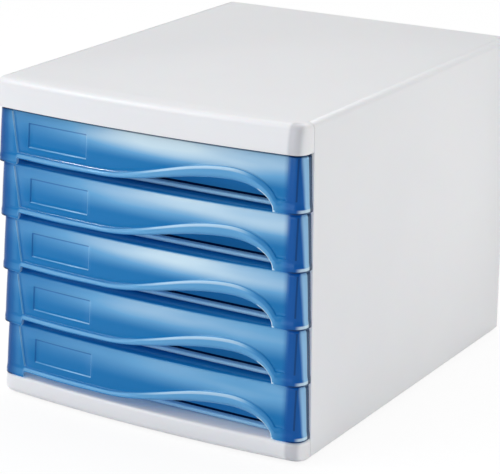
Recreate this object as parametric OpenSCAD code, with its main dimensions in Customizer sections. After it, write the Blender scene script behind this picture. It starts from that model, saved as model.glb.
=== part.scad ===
// Desktop drawer tower: a white housing of snap-together mouldings that
// holds five shallow drawers with translucent blue, wave-cut fronts.
// Units are millimetres. The origin is at the middle of the footprint,
// on the surface that the tower stands on; the drawers open towards -Y.

/* [Housing] */
// Width across the side panels
width = 266; // [250:1:300]
// Depth from the crown of the bowed front to the back
depth = 335; // [310:1:380]
// Wall thickness of the housing mouldings
wall = 2.5; // [2:0.1:3]
// Height of the top cover's front fascia
cap_height = 21; // [17:0.5:30]
// Height of the base plinth, feet included
plinth_height = 17; // [15:0.5:26]
// Radius of the long top edges
edge_radius = 5; // [4:0.5:6]
// Radius of the long bottom edges
sole_radius = 3; // [2.5:0.5:4]
// Seam between two housing mouldings
seam = 0.3; // [0.2:0.1:0.5]
// Width of the ledges that the cover and the base rest on
ledge_width = 8; // [6:0.5:10]
// Overlap that joins two features of one moulding
lap = 0.5; // [0.5:0.1:1]

/* [Bowed front] */
// How far the crown of the front stands ahead of the side panels
front_projection = 22; // [21:0.5:26]
// Rise of the bow over the full width
bow = 7; // [4:0.5:9]
// Plan radius of the cover's and the plinth's front corners
corner_radius = 10; // [8:0.5:11]
// How far the cover's fascia leans back towards its top
fascia_lean = 2.5; // [1:0.5:4]
// How far the plinth's face bellies out at mid height
plinth_belly = 1.2; // [0.5:0.1:2]

/* [Drawer fronts] */
// Height from one drawer to the next
drawer_pitch = 42.4; // [40:0.1:52]
// Gap under each drawer front
front_gap = 0.8; // [0.6:0.1:1.2]
// Gap between a closed drawer front and the side panels
mouth_gap = 0.5; // [0.3:0.1:0.8]
// Wall thickness of the drawer fronts
front_wall = 2.4; // [2.2:0.1:3]
// Plan radius of a drawer front's corners
front_corner = 9; // [7:0.5:9.5]
// How far the foot of a drawer front stays behind the fascia line
front_setback = 1; // [0.5:0.1:2]
// How far a drawer front leans back from its foot to its top
face_lean = 3.5; // [2:0.1:5]
// Inset of a drawer front from the side of the housing, at its foot
side_setback = 1.5; // [1:0.1:2]
// Further inset of a drawer front's sides at its top
side_lean = 0.7; // [0.2:0.1:1.2]
// Radius of the edge between face and top ledge
ledge_radius = 2.5; // [1.5:0.1:3]
// Depth of the sunk panel
panel_recess = 0.8; // [0.4:0.1:1]
// Distance from the housing's side to the foot of the sunk panel
panel_margin = 19.5; // [18:0.5:21]
// How much the panel widens on each side towards its top
panel_splay = 2.5; // [0:0.1:3]
// Width of the zone where the panel's edge spreads
splay_zone = 5; // [4:0.5:6]
// Width of the sloped edges of the panel and the label field
edge_slope = 0.6; // [0.4:0.1:0.8]
// Height of the sunk panel's lower edge beside the wave
panel_foot = 10.2; // [9:0.1:12]

/* [Finger pull] */
// Height of the skirt's lower edge above the legs
skirt_rise = 3.2; // [2:0.1:4]
// Extra rise at the middle of the skirt
skirt_crest = 1.5; // [0:0.1:2]
// Height of the finger arch above the legs
arch_rise = 18.6; // [15:0.1:20]
// Height of the arch's rim line above the legs
rim_rise = 27.3; // [24:0.1:29]
// Distance from the housing's side to the arch's steep end
arch_margin = 27.7; // [26:0.1:30]
// Length of the arch's steep side
arch_fall = 36.3; // [30:0.1:42]
// Length of the wave that rises to the arch
wave_length = 115; // [100:1:118]
// Exponent of the arch's steep side, where 2 is an ellipse
arch_fullness = 2.3; // [2:0.1:2.6]
// Width of each leg of a drawer front
leg_margin = 21; // [20.5:0.1:23]
// Width over which the cut edge rises from a leg
leg_blend = 3.5; // [2.5:0.1:4]
// How much longer the rim line's steep side is than the arch's
rim_offset = 7; // [5:0.1:8]
// Bulge of the rolled rim along the wave
rim_bulge = 1; // [0.4:0.1:1.4]

/* [Label field] */
// Width of the label field
label_width = 51; // [30:1:56]
// Height of the label field
label_height = 17.6; // [12:0.1:19]
// Distance from the housing's side to the label field
label_margin = 28; // [26:0.5:40]
// Height of the label field's lower edge
label_foot = 15.8; // [14:0.1:17]
// Depth of the label field below the panel
label_recess = 0.5; // [0.2:0.1:0.6]

/* [Drawer trays] */
// Wall and floor thickness of a tray
tray_wall = 2; // [1.6:0.1:2.4]
// Gap between a tray's floor and the drawer below it
tray_lift = 0.8; // [0.6:0.1:1.2]
// Step from a drawer front's top down to its tray's front wall
front_step = 0.2; // [0:0.1:0.4]
// Height of a tray's rim above its drawer's foot
tray_rim = 38; // [36:0.1:38]
// Gap between a tray and the back panel
tray_back_gap = 5; // [4:0.5:10]
// Plan radius of a tray's rear corners
tray_corner = 6; // [4:0.5:10]
// Width of the sliding flange beside a tray
flange_width = 4.8; // [4:0.1:6]
// Thickness of the sliding flange
flange_height = 2; // [1.5:0.1:2.2]
// Height of the lip along the foot of a tray's front
lip_height = 3; // [2.5:0.1:4]
// Projection of that lip
lip_projection = 4; // [3:0.1:5]
// How far the lip ends short of the tray's sides
lip_margin = 6; // [5:0.5:20]
// Width of each clip tongue that carries the front
tongue_width = 24; // [15:1:40]
// Depth of each clip tongue
tongue_depth = 7; // [5:0.5:10]
// How far a drawer opens before its stop
travel = 250; // [150:1:260]

/* [Runners] */
// Running clearance under the sliding flange
slide_clearance = 0.3; // [0.2:0.05:0.4]
// Clearance beside a tray
side_clearance = 0.6; // [0.4:0.05:0.8]
// Thickness of the runner that carries a tray
runner_height = 2; // [1.6:0.1:2.4]
// Gap above the flange, where the stop nib runs
keeper_gap = 2.4; // [2.2:0.1:2.6]
// Thickness of the keeper rib over the flange
keeper_height = 1.4; // [1:0.1:1.5]
// Length of the stop at the front of each keeper
stop_length = 5; // [4:0.5:8]
// Clearance of the flange under the stop
stop_clearance = 0.4; // [0.3:0.1:0.6]
// Length of the nib that meets the stop
nib_length = 6; // [4:0.5:10]
// Distance from a runner's rear end to the tray's rear wall
runner_margin = 10; // [5:0.5:20]

/* [Feet] */
// Radius of the rubber feet
foot_radius = 8; // [6:0.5:10]
// Height that the feet stand proud
foot_proud = 1; // [0.8:0.1:2]
// Depth of the feet's pockets
foot_pocket = 1.5; // [1:0.1:2]
// Chamfer around the foot's sole
foot_chamfer = 0.5; // [0.3:0.1:0.8]
// Clearance around a foot in its pocket
foot_clearance = 0.2; // [0.1:0.05:0.3]
// Wall around a foot's pocket
foot_wall = 2; // [1.5:0.1:3]
// Distance from the sides to a foot's centre
foot_margin = 25; // [22:1:40]
// Thickness of the ribs under the base
base_rib = 2; // [1.5:0.1:3]
// Depth of the ribs under the base
base_rib_depth = 8; // [6:0.5:10]

/* [Hidden] */
levels = 5;
shell_colour = [0.90, 0.90, 0.92];
front_colour = [0.25, 0.56, 0.85, 0.85];
tray_colour = [0.12, 0.38, 0.72, 0.85];
rubber_colour = [0.20, 0.20, 0.21];

// Overall heights and the planes that the mouldings share
height = plinth_height + levels * drawer_pitch + cap_height;
cap_foot = height - cap_height;
half_width = width / 2;
crown_y = -depth / 2;
back_y = depth / 2;
mouth_y = crown_y + front_projection;
front_rear_y = mouth_y - mouth_gap;
inner_x = half_width - wall;
inner_back_y = back_y - wall - seam;
sole_top = foot_proud + sole_radius;

// The bowed front line is one large arc that meets two corner arcs
bow_radius = (half_width * half_width + bow * bow) / (2 * bow);
bow_centre_y = crown_y + bow_radius;
corner_steps = 6;
bow_steps = 20;

// Drawer front, measured from its own foot
front_height = drawer_pitch - front_gap;
face_top = front_height - ledge_radius;
panel_half = half_width - panel_margin;
splay_start = panel_half - splay_zone;
leg_edge = half_width - leg_margin;
arch_end = half_width - arch_margin;
arch_peak = arch_end - arch_fall;
wave_start = arch_peak - wave_length;
label_left = -(half_width - label_margin);
label_right = label_left + label_width;

// Tray and runner sections, measured from the drawer's foot
tray_front_half = inner_x - side_clearance;
tray_half = tray_front_half - flange_width;
tray_rear_y = back_y - wall - tray_back_gap;
flange_z = tray_rim - flange_height;
runner_z = flange_z - slide_clearance - runner_height;
keeper_z = tray_rim + keeper_gap;
runner_start_y = front_rear_y + tray_wall + mouth_gap;
runner_end_y = tray_rear_y - runner_margin;
nib_y = runner_start_y + stop_length + travel + slide_clearance;

// Height of drawer n's foot above the table; drawer 1 is the top one
function drawer_foot(n) = plinth_height + (levels - n) * drawer_pitch;

// Smooth step from 0 to 1
function ease(t) = t <= 0 ? 0 : t >= 1 ? 1 : (1 - cos(180 * t)) / 2;

// A list of numbers in rising order, each kept once
function sorted(v) =
  len(v) < 2 ? v :
  let (pivot = v[floor(len(v) / 2)])
  concat(
    sorted([for (x = v) if (x < pivot) x]),
    [pivot],
    sorted([for (x = v) if (x > pivot) x])
  );

// Plan outline ---------------------------------------------------------

// Y of the bowed line at x, moved back by inset
function bow_y(x, inset) = bow_centre_y - sqrt(pow(bow_radius - inset, 2) - x * x);

// Centre of the right corner arc, as [x, y, angle of the tangent]
function corner_centre(front_inset, side_inset, radius) =
  let (
    reach = bow_radius - front_inset - radius,
    x = half_width - side_inset - radius
  )
  [x, bow_centre_y - sqrt(reach * reach - x * x), asin(x / reach)];

// Points of the right corner arc, from the bow round to the side
function corner_arc(front_inset, side_inset, radius) =
  let (c = corner_centre(front_inset, side_inset, radius))
  [
    for (i = [0:corner_steps])
      let (t = 270 + c[2] + (90 - c[2]) * i / corner_steps)
      [c[0] + radius * cos(t), c[1] + radius * sin(t)]
  ];

function mirrored(points) = [
  for (i = [len(points) - 1:-1:0]) [-points[i][0], points[i][1]]
];

// Whole front outline from the left rear corner round to the right one
function front_outline(front_inset, side_inset, radius, rear_y) =
  let (
    arc = corner_arc(front_inset, side_inset, radius),
    x_end = arc[0][0],
    side_x = half_width - side_inset
  )
  concat(
    [[-side_x, rear_y]],
    mirrored(arc),
    [
      for (i = [1:bow_steps - 1])
        let (x = x_end * (2 * i / bow_steps - 1))
        [x, bow_y(x, front_inset)]
    ],
    arc,
    [[side_x, rear_y]]
  );

// Solid between stacked outlines; rings are [z, front inset, side inset]
module front_loft(rings, rear_y) {
  outlines = [
    for (ring = rings)
      front_outline(ring[1], ring[2], corner_radius - ring[2], rear_y)
  ];
  n = len(outlines[0]);
  last = len(rings) - 1;
  points = [for (k = [0:last]) for (p = outlines[k]) [p[0], p[1], rings[k][0]]];
  sides = [
    for (k = [0:last - 1]) for (i = [0:n - 2])
      let (a = k * n + i)
      for (f = [[a, a + n, a + n + 1], [a, a + n + 1, a + 1]]) f
  ];
  rear = concat(
    [for (k = [0:last]) k * n + n - 1],
    [for (k = [last:-1:0]) k * n]
  );
  polyhedron(
    points = points,
    faces = concat(
      sides,
      [rear],
      [[for (i = [0:n - 1]) i]],
      [[for (i = [n - 1:-1:0]) last * n + i]]
    ),
    convexity = 6
  );
}

// Housing --------------------------------------------------------------

// Rings of the cover's fascia: it leans back, then rolls over at the top
function cap_rings() = concat(
  [
    [cap_foot, 0.4, 0.4],
    [cap_foot + 0.4, 0, 0],
    [cap_foot + cap_height / 4, 0, 0],
    [cap_foot + cap_height / 2, fascia_lean * 0.45, 0],
  ],
  [
    for (t = [0:22.5:90])
      let (roll = edge_radius * (1 - cos(t)))
      [height - edge_radius * (1 - sin(t)), fascia_lean + roll, roll]
  ]
);

// Inset of the plinth's face at height z
function belly(z) = plinth_belly * pow(2 * (z - foot_proud) / (plinth_height - foot_proud) - 1, 2);

// Rings of the plinth: a rolled sole, a slight belly and a soft top edge
function plinth_rings() = concat(
  [
    for (t = [0:22.5:90])
      let (
        roll = sole_radius * (1 - sin(t)),
        z = foot_proud + sole_radius * (1 - cos(t))
      )
      [z, roll + belly(z), roll]
  ],
  [
    for (z = [plinth_height * 0.5, plinth_height * 0.75, plinth_height - 0.8])
      [z, belly(z), 0]
  ],
  [[plinth_height, belly(plinth_height) + 0.8, 0.6]]
);

module top_cover() {
  plate_half = half_width - edge_radius - seam;
  color(shell_colour)
  difference() {
    union() {
      front_loft(cap_rings(), mouth_y - seam);
      translate([-plate_half, mouth_y - seam - lap, height - wall])
        cube([2 * plate_half, back_y - mouth_y + seam + lap, wall]);
    }
    translate([0, 0, cap_foot - 1])
      linear_extrude(cap_height - wall + 1)
        polygon(front_outline(fascia_lean + wall, wall, corner_radius - wall, mouth_y));
  }
}

module base_plinth() {
  plate_half = inner_x - seam;
  floor_z = plinth_height - wall;
  skirt_z = sole_top + seam;
  color(shell_colour)
  difference() {
    union() {
      difference() {
        front_loft(plinth_rings(), mouth_y - seam);
        translate([0, 0, -1])
          linear_extrude(floor_z + 1)
            polygon(front_outline(plinth_belly + wall, wall, corner_radius - wall, mouth_y));
      }
      translate([-plate_half, mouth_y - seam - lap, floor_z])
        cube([2 * plate_half, inner_back_y - mouth_y + seam + lap, wall]);
      // Side and rear skirts, standing on the side panels' ledges
      for (side = [0, 1])
        mirror([side, 0, 0])
          translate([plate_half - wall, mouth_y, skirt_z])
            cube([wall, inner_back_y - mouth_y, plinth_height - skirt_z]);
      translate([-plate_half, inner_back_y - wall, skirt_z])
        cube([2 * plate_half, wall, plinth_height - skirt_z]);
      // Ribs under the floor
      for (x = [-half_width / 3, half_width / 3])
        translate([x - base_rib / 2, mouth_y, floor_z - base_rib_depth])
          cube([base_rib, inner_back_y - mouth_y, base_rib_depth]);
      for (i = [1:3])
        translate([-plate_half, mouth_y + (inner_back_y - mouth_y) * i / 4, floor_z - base_rib_depth])
          cube([2 * plate_half, base_rib, base_rib_depth]);
      for (p = foot_places())
        translate([p[0], p[1], foot_proud])
          cylinder(r = foot_radius + foot_wall, h = floor_z - foot_proud + lap, $fn = 48);
    }
    for (p = foot_places())
      translate([p[0], p[1], 0])
        cylinder(r = foot_radius + foot_clearance, h = foot_proud + foot_pocket, $fn = 48);
  }
}

// Centres of the four feet: front left, front right, rear left, rear right
function foot_places() = [
  for (y = [mouth_y + foot_margin, back_y - foot_margin])
    for (x = [-(half_width - foot_margin), half_width - foot_margin])
      [x, y]
];

module foot(i) {
  color(rubber_colour)
    translate([foot_places()[i][0], foot_places()[i][1], 0]) {
      cylinder(r1 = foot_radius - foot_chamfer, r2 = foot_radius, h = foot_chamfer, $fn = 48);
      translate([0, 0, foot_chamfer])
        cylinder(r = foot_radius, h = foot_proud + foot_pocket - foot_chamfer, $fn = 48);
    }
}

// Section of the right side panel, with x across and y as height
module side_section() {
  top_z = height - edge_radius;
  translate([inner_x, sole_top])
    square([wall, top_z - sole_top]);
  // Rolled top edge
  intersection() {
    translate([half_width - edge_radius, top_z])
      circle(r = edge_radius, $fn = 64);
    translate([half_width - edge_radius, top_z])
      square(edge_radius);
  }
  // Rolled sole
  intersection() {
    translate([half_width - sole_radius, sole_top])
      circle(r = sole_radius, $fn = 64);
    translate([half_width - sole_radius - lap, foot_proud])
      square([sole_radius + lap, sole_radius]);
  }
}

// The ledges that the cover and the base rest on, up to the back panel
module ledges() {
  ledge_x = half_width - ledge_width - wall;
  translate([ledge_x, mouth_y, height - 2 * wall - seam])
    cube([ledge_width + lap, inner_back_y - mouth_y, wall]);
  translate([ledge_x, mouth_y, foot_proud])
    cube([half_width - sole_radius - ledge_x, inner_back_y - mouth_y, sole_radius]);
}

module side_panel() {
  rib_depth = inner_x - tray_half - side_clearance;
  color(shell_colour) {
    translate([0, back_y, 0])
      rotate([90, 0, 0])
        linear_extrude(back_y - mouth_y)
          side_section();
    ledges();
    // Rib in front of the back panel
    translate([inner_x - rib_depth, inner_back_y - wall, plinth_height + seam])
      cube([rib_depth + lap, wall, cap_foot - plinth_height]);
    for (n = [1:levels])
      translate([inner_x - rib_depth, 0, drawer_foot(n)])
        runner(rib_depth + lap);
  }
}

// Runner and keeper of one drawer, with the stop that ends its travel
module runner(reach) {
  rib_length = runner_end_y - runner_start_y;
  translate([0, runner_start_y, runner_z])
    cube([reach, rib_length, runner_height]);
  translate([0, runner_start_y, keeper_z])
    cube([reach, rib_length, keeper_height]);
  translate([0, runner_start_y, tray_rim + stop_clearance])
    cube([reach, stop_length, keeper_gap - stop_clearance + lap]);
}

module right_side_panel() {
  side_panel();
}

module left_side_panel() {
  mirror([1, 0, 0])
    side_panel();
}

// Back panel between the side panels, with shoulders under the rolled edges
module back_panel() {
  half = inner_x - seam;
  neck = half_width - edge_radius - seam;
  shoulder_z = height - edge_radius - seam;
  top_z = height - wall - seam;
  foot_z = sole_top + seam;
  color(shell_colour)
    translate([0, back_y, 0])
      rotate([90, 0, 0])
        linear_extrude(wall)
          polygon([
            [-half, foot_z], [half, foot_z], [half, shoulder_z], [neck, shoulder_z],
            [neck, top_z], [-neck, top_z], [-neck, shoulder_z], [-half, shoulder_z],
          ]);
}

// Drawer fronts --------------------------------------------------------

// Lower edge of the front at x: legs at both ends, a skirt, then the arch
function cut_height(x) =
  let (
    skirt = skirt_rise + skirt_crest * pow(sin(180 * min(1, max(0, (x + leg_edge) / (wave_start + leg_edge)))), 2)
  )
  x <= -leg_edge ? 0 :
  x < wave_start ? skirt * ease((x + leg_edge) / leg_blend) :
  x < arch_peak ? skirt_rise + (arch_rise - skirt_rise) * ease((x - wave_start) / wave_length) :
  x < arch_end ? arch_rise * pow(1 - pow((x - arch_peak) / arch_fall, arch_fullness), 1 / arch_fullness) :
  0;

// Upper edge of the rolled rim, which is the foot of the sunk panel
function rim_height(x) =
  let (fall = (x - arch_peak) / (arch_fall + rim_offset))
  x < arch_peak ?
    panel_foot + (rim_rise - panel_foot) * ease((x - wave_start) / wave_length) :
  fall < 1 ?
    max(panel_foot, rim_rise * sqrt(1 - fall * fall)) :
  panel_foot;

// 1 along the wave, fading to 0 into the legs
function rim_fade(x) = ease((x + leg_edge) / leg_blend) * ease((leg_edge - x) / leg_blend);

// Nominal x of every column of the face between the two corners
face_columns = sorted(concat(
  [for (side = [-1, 1]) for (x = [panel_half, panel_half + edge_slope]) side * x],
  [-leg_edge, -leg_edge + leg_blend],
  [label_left - edge_slope, label_left, label_right, label_right + edge_slope],
  [for (i = [1:3]) label_left + label_width * i / 4],
  [for (i = [0:10]) wave_start + wave_length * i / 11],
  [for (t = [0:15:90]) arch_peak + arch_fall * sin(t)],
  [arch_end + 0.4, arch_end + 3]
));

// Columns near the panel's edges move outwards with height
function splayed(x, z) =
  let (share = min(1, max(0, (abs(x) - splay_start) / (panel_half - splay_start))))
  x + sign(x) * share * panel_splay * z / front_height;

// Rows of the face, from the cut edge up to the top ledge
rim_rows = [0, 0.12, 0.35, 0.7, 1];
label_rows = [
  for (z = [0, edge_slope, label_height - edge_slope, label_height])
    (label_foot + z - panel_foot - edge_slope) / (face_top - panel_foot - edge_slope)
];
ledge_rows = [0, 45, 90];
n_rows = len(rim_rows) + 1 + len(label_rows) + len(ledge_rows);
first_upper = len(rim_rows);
first_label = first_upper + 1;
first_ledge = first_label + len(label_rows);

// Height of row k at nominal x
function row_z(k, x) =
  let (cut = cut_height(x), rim = rim_height(x), upper = rim + edge_slope)
  k < first_upper ? cut + (rim - cut) * rim_rows[k] :
  k == first_upper ? upper :
  k < first_ledge ? upper + (face_top - upper) * label_rows[k - first_label] :
  face_top + ledge_radius * sin(ledge_rows[k - first_ledge]);

// How far the face is sunk at row k and nominal x
function relief(k, x) =
  let (
    in_panel = abs(x) <= panel_half ? 1 : 0,
    in_label = (x >= label_left && x <= label_right) ? 1 : 0
  )
  k < first_upper ? -rim_bulge * rim_fade(x) * pow(sin(180 * rim_rows[k]), 0.8) :
  k > first_ledge ? 0 :
  k > first_label && k < first_ledge - 1 ? in_panel * panel_recess + in_label * label_recess :
  in_panel * panel_recess;

// Extra inset of row k where the face rolls over into the ledge
function roll(k) = k <= first_ledge ? 0 : ledge_radius * (1 - cos(ledge_rows[k - first_ledge]));

// Insets of the plain leaning face at height z, as [front, side]
function face_insets(z) = [
  front_setback + face_lean * z / front_height,
  side_setback + side_lean * z / front_height,
];

// One corner and the return behind it, at height z and inset extra
function corner_row(z, extra) =
  let (insets = face_insets(z))
  concat(
    corner_arc(insets[0] + extra, insets[1] + extra, front_corner - extra),
    [[half_width - insets[1] - extra, front_rear_y]]
  );

function raised(points, z) = [for (p = points) [p[0], p[1], z]];

// Row k of the outer skin
function outer_row(k) =
  let (
    z = row_z(k, half_width),
    corner = corner_row(z, roll(k))
  )
  concat(
    raised(mirrored(corner), z),
    [
      for (x = face_columns)
        let (zx = row_z(k, x), xs = splayed(x, zx))
        [xs, bow_y(xs, face_insets(zx)[0] + roll(k) + relief(k, x)), zx]
    ],
    raised(corner, z)
  );

// A row of the inner skin, at the cut edge or under the top ledge
function inner_row(top) =
  let (
    z = top ? front_height - front_wall : 0,
    corner = corner_row(z, front_wall)
  )
  concat(
    raised(mirrored(corner), z),
    [
      for (x = face_columns)
        let (zx = top ? z : cut_height(x), xs = splayed(x, zx))
        [xs, bow_y(xs, face_insets(zx)[0] + front_wall), zx]
    ],
    raised(corner, z)
  );

function quad(a, b, c, d) = [[a, b, c], [a, c, d]];

// Flat face of a row of n points from index start, as a fan from each end.
// It faces down, or up when flipped.
function ledge_fan(start, n, flipped) =
  let (
    middle = floor(n / 2),
    fan = concat(
      [for (i = [1:middle - 1]) [start, start + i, start + i + 1]],
      [[start, start + middle, start + n - 1]],
      [for (i = [middle:n - 3]) [start + n - 1, start + i, start + i + 1]]
    )
  )
  [for (f = fan) flipped ? [f[2], f[1], f[0]] : f];

// Rear edge of one return: outer points against the inner foot and top
function return_edge(outer, inner_foot, inner_top) =
  let (switch = first_upper - 1)
  concat(
    [for (k = [0:switch - 1]) [outer[k], inner_foot, outer[k + 1]]],
    [[outer[switch], inner_foot, inner_top]],
    [for (k = [switch:len(outer) - 2]) [outer[k], inner_top, outer[k + 1]]]
  );

module drawer_front_shell() {
  rows = concat([for (k = [0:n_rows - 1]) outer_row(k)], [inner_row(false), inner_row(true)]);
  n = len(rows[0]);
  top = n_rows - 1;
  foot_in = n_rows * n;
  top_in = foot_in + n;
  skin = [
    for (k = [0:top - 1]) for (i = [k * n:k * n + n - 2])
      for (f = quad(i, i + n, i + n + 1, i + 1)) f
  ];
  lining = [
    for (i = [0:n - 2])
      for (f = quad(foot_in + i, foot_in + i + 1, top_in + i + 1, top_in + i)) f
  ];
  cut_edge = [
    for (i = [0:n - 2])
      for (f = quad(i, i + 1, foot_in + i + 1, foot_in + i)) f
  ];
  left_edge = return_edge([for (k = [0:top]) k * n], foot_in, top_in);
  right_edge = [
    for (f = return_edge([for (k = [0:top]) k * n + n - 1], foot_in + n - 1, top_in + n - 1))
      [f[2], f[1], f[0]]
  ];
  polyhedron(
    points = [for (row = rows) for (p = row) p],
    faces = concat(
      skin,
      lining,
      cut_edge,
      left_edge,
      right_edge,
      quad(top_in, top_in + n - 1, top * n + n - 1, top * n),
      ledge_fan(top * n, n, true),
      ledge_fan(top_in, n, false)
    ),
    convexity = 8
  );
}

module drawer_front(n) {
  color(front_colour)
    translate([0, 0, drawer_foot(n)])
      drawer_front_shell();
}

// Drawer trays ---------------------------------------------------------

// Plan of a tray: square at the front, rounded at the rear corners
module tray_plan(half, rear_y, radius) {
  translate([-half, front_rear_y])
    square([2 * half, rear_y - radius - front_rear_y]);
  translate([-(half - radius), front_rear_y])
    square([2 * (half - radius), rear_y - front_rear_y]);
  for (side = [-1, 1])
    translate([side * (half - radius), rear_y - radius])
      circle(r = radius, $fn = 64);
}

module drawer_tray_shell() {
  front_top = front_height - front_step;
  lip_radius = lip_height / 2;
  lip_half = tray_half - lip_margin;
  difference() {
    union() {
      translate([0, 0, tray_lift])
        linear_extrude(tray_rim - tray_lift)
          tray_plan(tray_half, tray_rear_y, tray_corner);
      translate([0, 0, flange_z])
        linear_extrude(flange_height)
          difference() {
            tray_plan(tray_front_half, tray_rear_y, tray_corner);
            translate([-half_width, front_rear_y - lap])
              square([width, lap + tray_wall]);
          }
    }
    translate([0, tray_wall, tray_lift + tray_wall])
      linear_extrude(tray_rim)
        tray_plan(tray_half - tray_wall, tray_rear_y - 2 * tray_wall, tray_corner - tray_wall);
  }
  // Front wall that closes the housing's mouth behind the drawer front
  translate([-tray_front_half, front_rear_y, tray_lift])
    cube([2 * tray_front_half, tray_wall, front_top - tray_lift]);
  // Rounded lip along its foot
  translate([-lip_half, front_rear_y - lip_projection + lip_radius, tray_lift])
    cube([2 * lip_half, lip_projection - lip_radius, lip_height]);
  translate([-lip_half, front_rear_y - lip_projection + lip_radius, tray_lift + lip_radius])
    rotate([0, 90, 0])
      cylinder(r = lip_radius, h = 2 * lip_half, $fn = 32);
  // Clip tongues under the drawer front's top ledge
  for (side = [-1, 1])
    translate([side * half_width / 2 - tongue_width / 2, front_rear_y - tongue_depth,
               front_height - front_wall - tray_wall])
      cube([tongue_width, tongue_depth, tray_wall]);
  // Nibs that meet the stops
  for (side = [0, 1])
    mirror([side, 0, 0])
      translate([tray_half + side_clearance, nib_y, tray_rim - lap])
        cube([flange_width - side_clearance, nib_length, keeper_gap - slide_clearance]);
}

module drawer_tray(n) {
  color(tray_colour)
    translate([0, 0, drawer_foot(n)])
      drawer_tray_shell();
}

top_cover();
base_plinth();
left_side_panel();
right_side_panel();
back_panel();
drawer_front(1);  // drawer_front_1
drawer_front(2);  // drawer_front_2
drawer_front(3);  // drawer_front_3
drawer_front(4);  // drawer_front_4
drawer_front(5);  // drawer_front_5
drawer_tray(1);  // drawer_tray_1
drawer_tray(2);  // drawer_tray_2
drawer_tray(3);  // drawer_tray_3
drawer_tray(4);  // drawer_tray_4
drawer_tray(5);  // drawer_tray_5
foot(0);  // foot_front_left
foot(1);  // foot_front_right
foot(2);  // foot_rear_left
foot(3);  // foot_rear_right
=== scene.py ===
"""Dresses the desktop drawer tower: white moulded housing, tinted wave-cut drawers, soft studio.

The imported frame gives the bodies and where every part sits. Each sub-assembly below models its
parts anew at those places, in millimetres, so edges are rolled and skins are fine enough to shine.
"""
from __future__ import annotations

import logging
import math
from contextlib import contextmanager
from dataclasses import dataclass, field
from enum import Enum
from typing import Callable, Iterable, Iterator, Optional, Sequence

import bmesh
import bpy
from mathutils import Matrix, Vector

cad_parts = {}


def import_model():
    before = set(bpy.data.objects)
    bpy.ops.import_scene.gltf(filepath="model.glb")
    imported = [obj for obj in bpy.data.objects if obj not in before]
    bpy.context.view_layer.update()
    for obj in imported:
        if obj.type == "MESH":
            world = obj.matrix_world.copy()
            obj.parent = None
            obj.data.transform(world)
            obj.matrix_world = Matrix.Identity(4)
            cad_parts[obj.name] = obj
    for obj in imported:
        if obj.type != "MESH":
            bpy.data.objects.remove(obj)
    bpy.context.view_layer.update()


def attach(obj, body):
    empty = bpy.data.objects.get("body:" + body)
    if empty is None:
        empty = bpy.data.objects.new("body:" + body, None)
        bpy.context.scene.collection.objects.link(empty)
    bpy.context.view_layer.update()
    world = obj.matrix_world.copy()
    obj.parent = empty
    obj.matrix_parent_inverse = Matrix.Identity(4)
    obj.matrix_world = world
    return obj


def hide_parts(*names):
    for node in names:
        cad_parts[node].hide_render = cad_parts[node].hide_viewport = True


log = logging.getLogger("drawer_tower")

MM = 0.001
DRUM_SIDES = 64
QUARTER = math.pi / 2
# in mm: how close counts as on a plane, how close points are welded, and how far a moulded-on
# detail reaches into the wall that carries it
NEAR = 0.01
WELD = 0.002
BITE = 0.5
# in degrees: a fold sharper than this gets its edge rounded
CREASE = 50

Point = tuple[float, float, float]
Flat = tuple[float, float]
Colour = tuple[float, float, float, float]
Test = Callable[[Vector, Vector], bool]
Socket = bpy.types.NodeSocket
Material = bpy.types.Material


class Slot(Enum):
    """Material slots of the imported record."""

    HOUSING = "housing_plastic"
    FRONT = "front_plastic"
    TRAY = "tray_plastic"
    FOOT = "foot_rubber"


class Side(Enum):
    """The two flanks of the tower, with the sign of their x."""

    LEFT = -1
    RIGHT = 1


def ease(share: float) -> float:
    """Smooth step from 0 to 1, held at both ends."""
    held = min(1.0, max(0.0, share))
    return (1 - math.cos(math.pi * held)) / 2


def blend(low: float, high: float, share: float) -> float:
    """The value at a share of the way from low to high."""
    return low + (high - low) * share


def arc(radius: float, start: float, end: float, steps: int) -> list[Flat]:
    """Points of an arc about the origin, between two angles in radians."""
    turns = [blend(start, end, i / steps) for i in range(steps + 1)]
    return [(radius * math.cos(turn), radius * math.sin(turn)) for turn in turns]


def metres(point: Iterable[float]) -> tuple[float, ...]:
    """Lengths in mm as metres."""
    return tuple(value * MM for value in point)


def every(at: Vector, way: Vector) -> bool:
    """A test that every edge passes."""
    return True


# --------------------------------------------------------------------- bench


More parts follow.
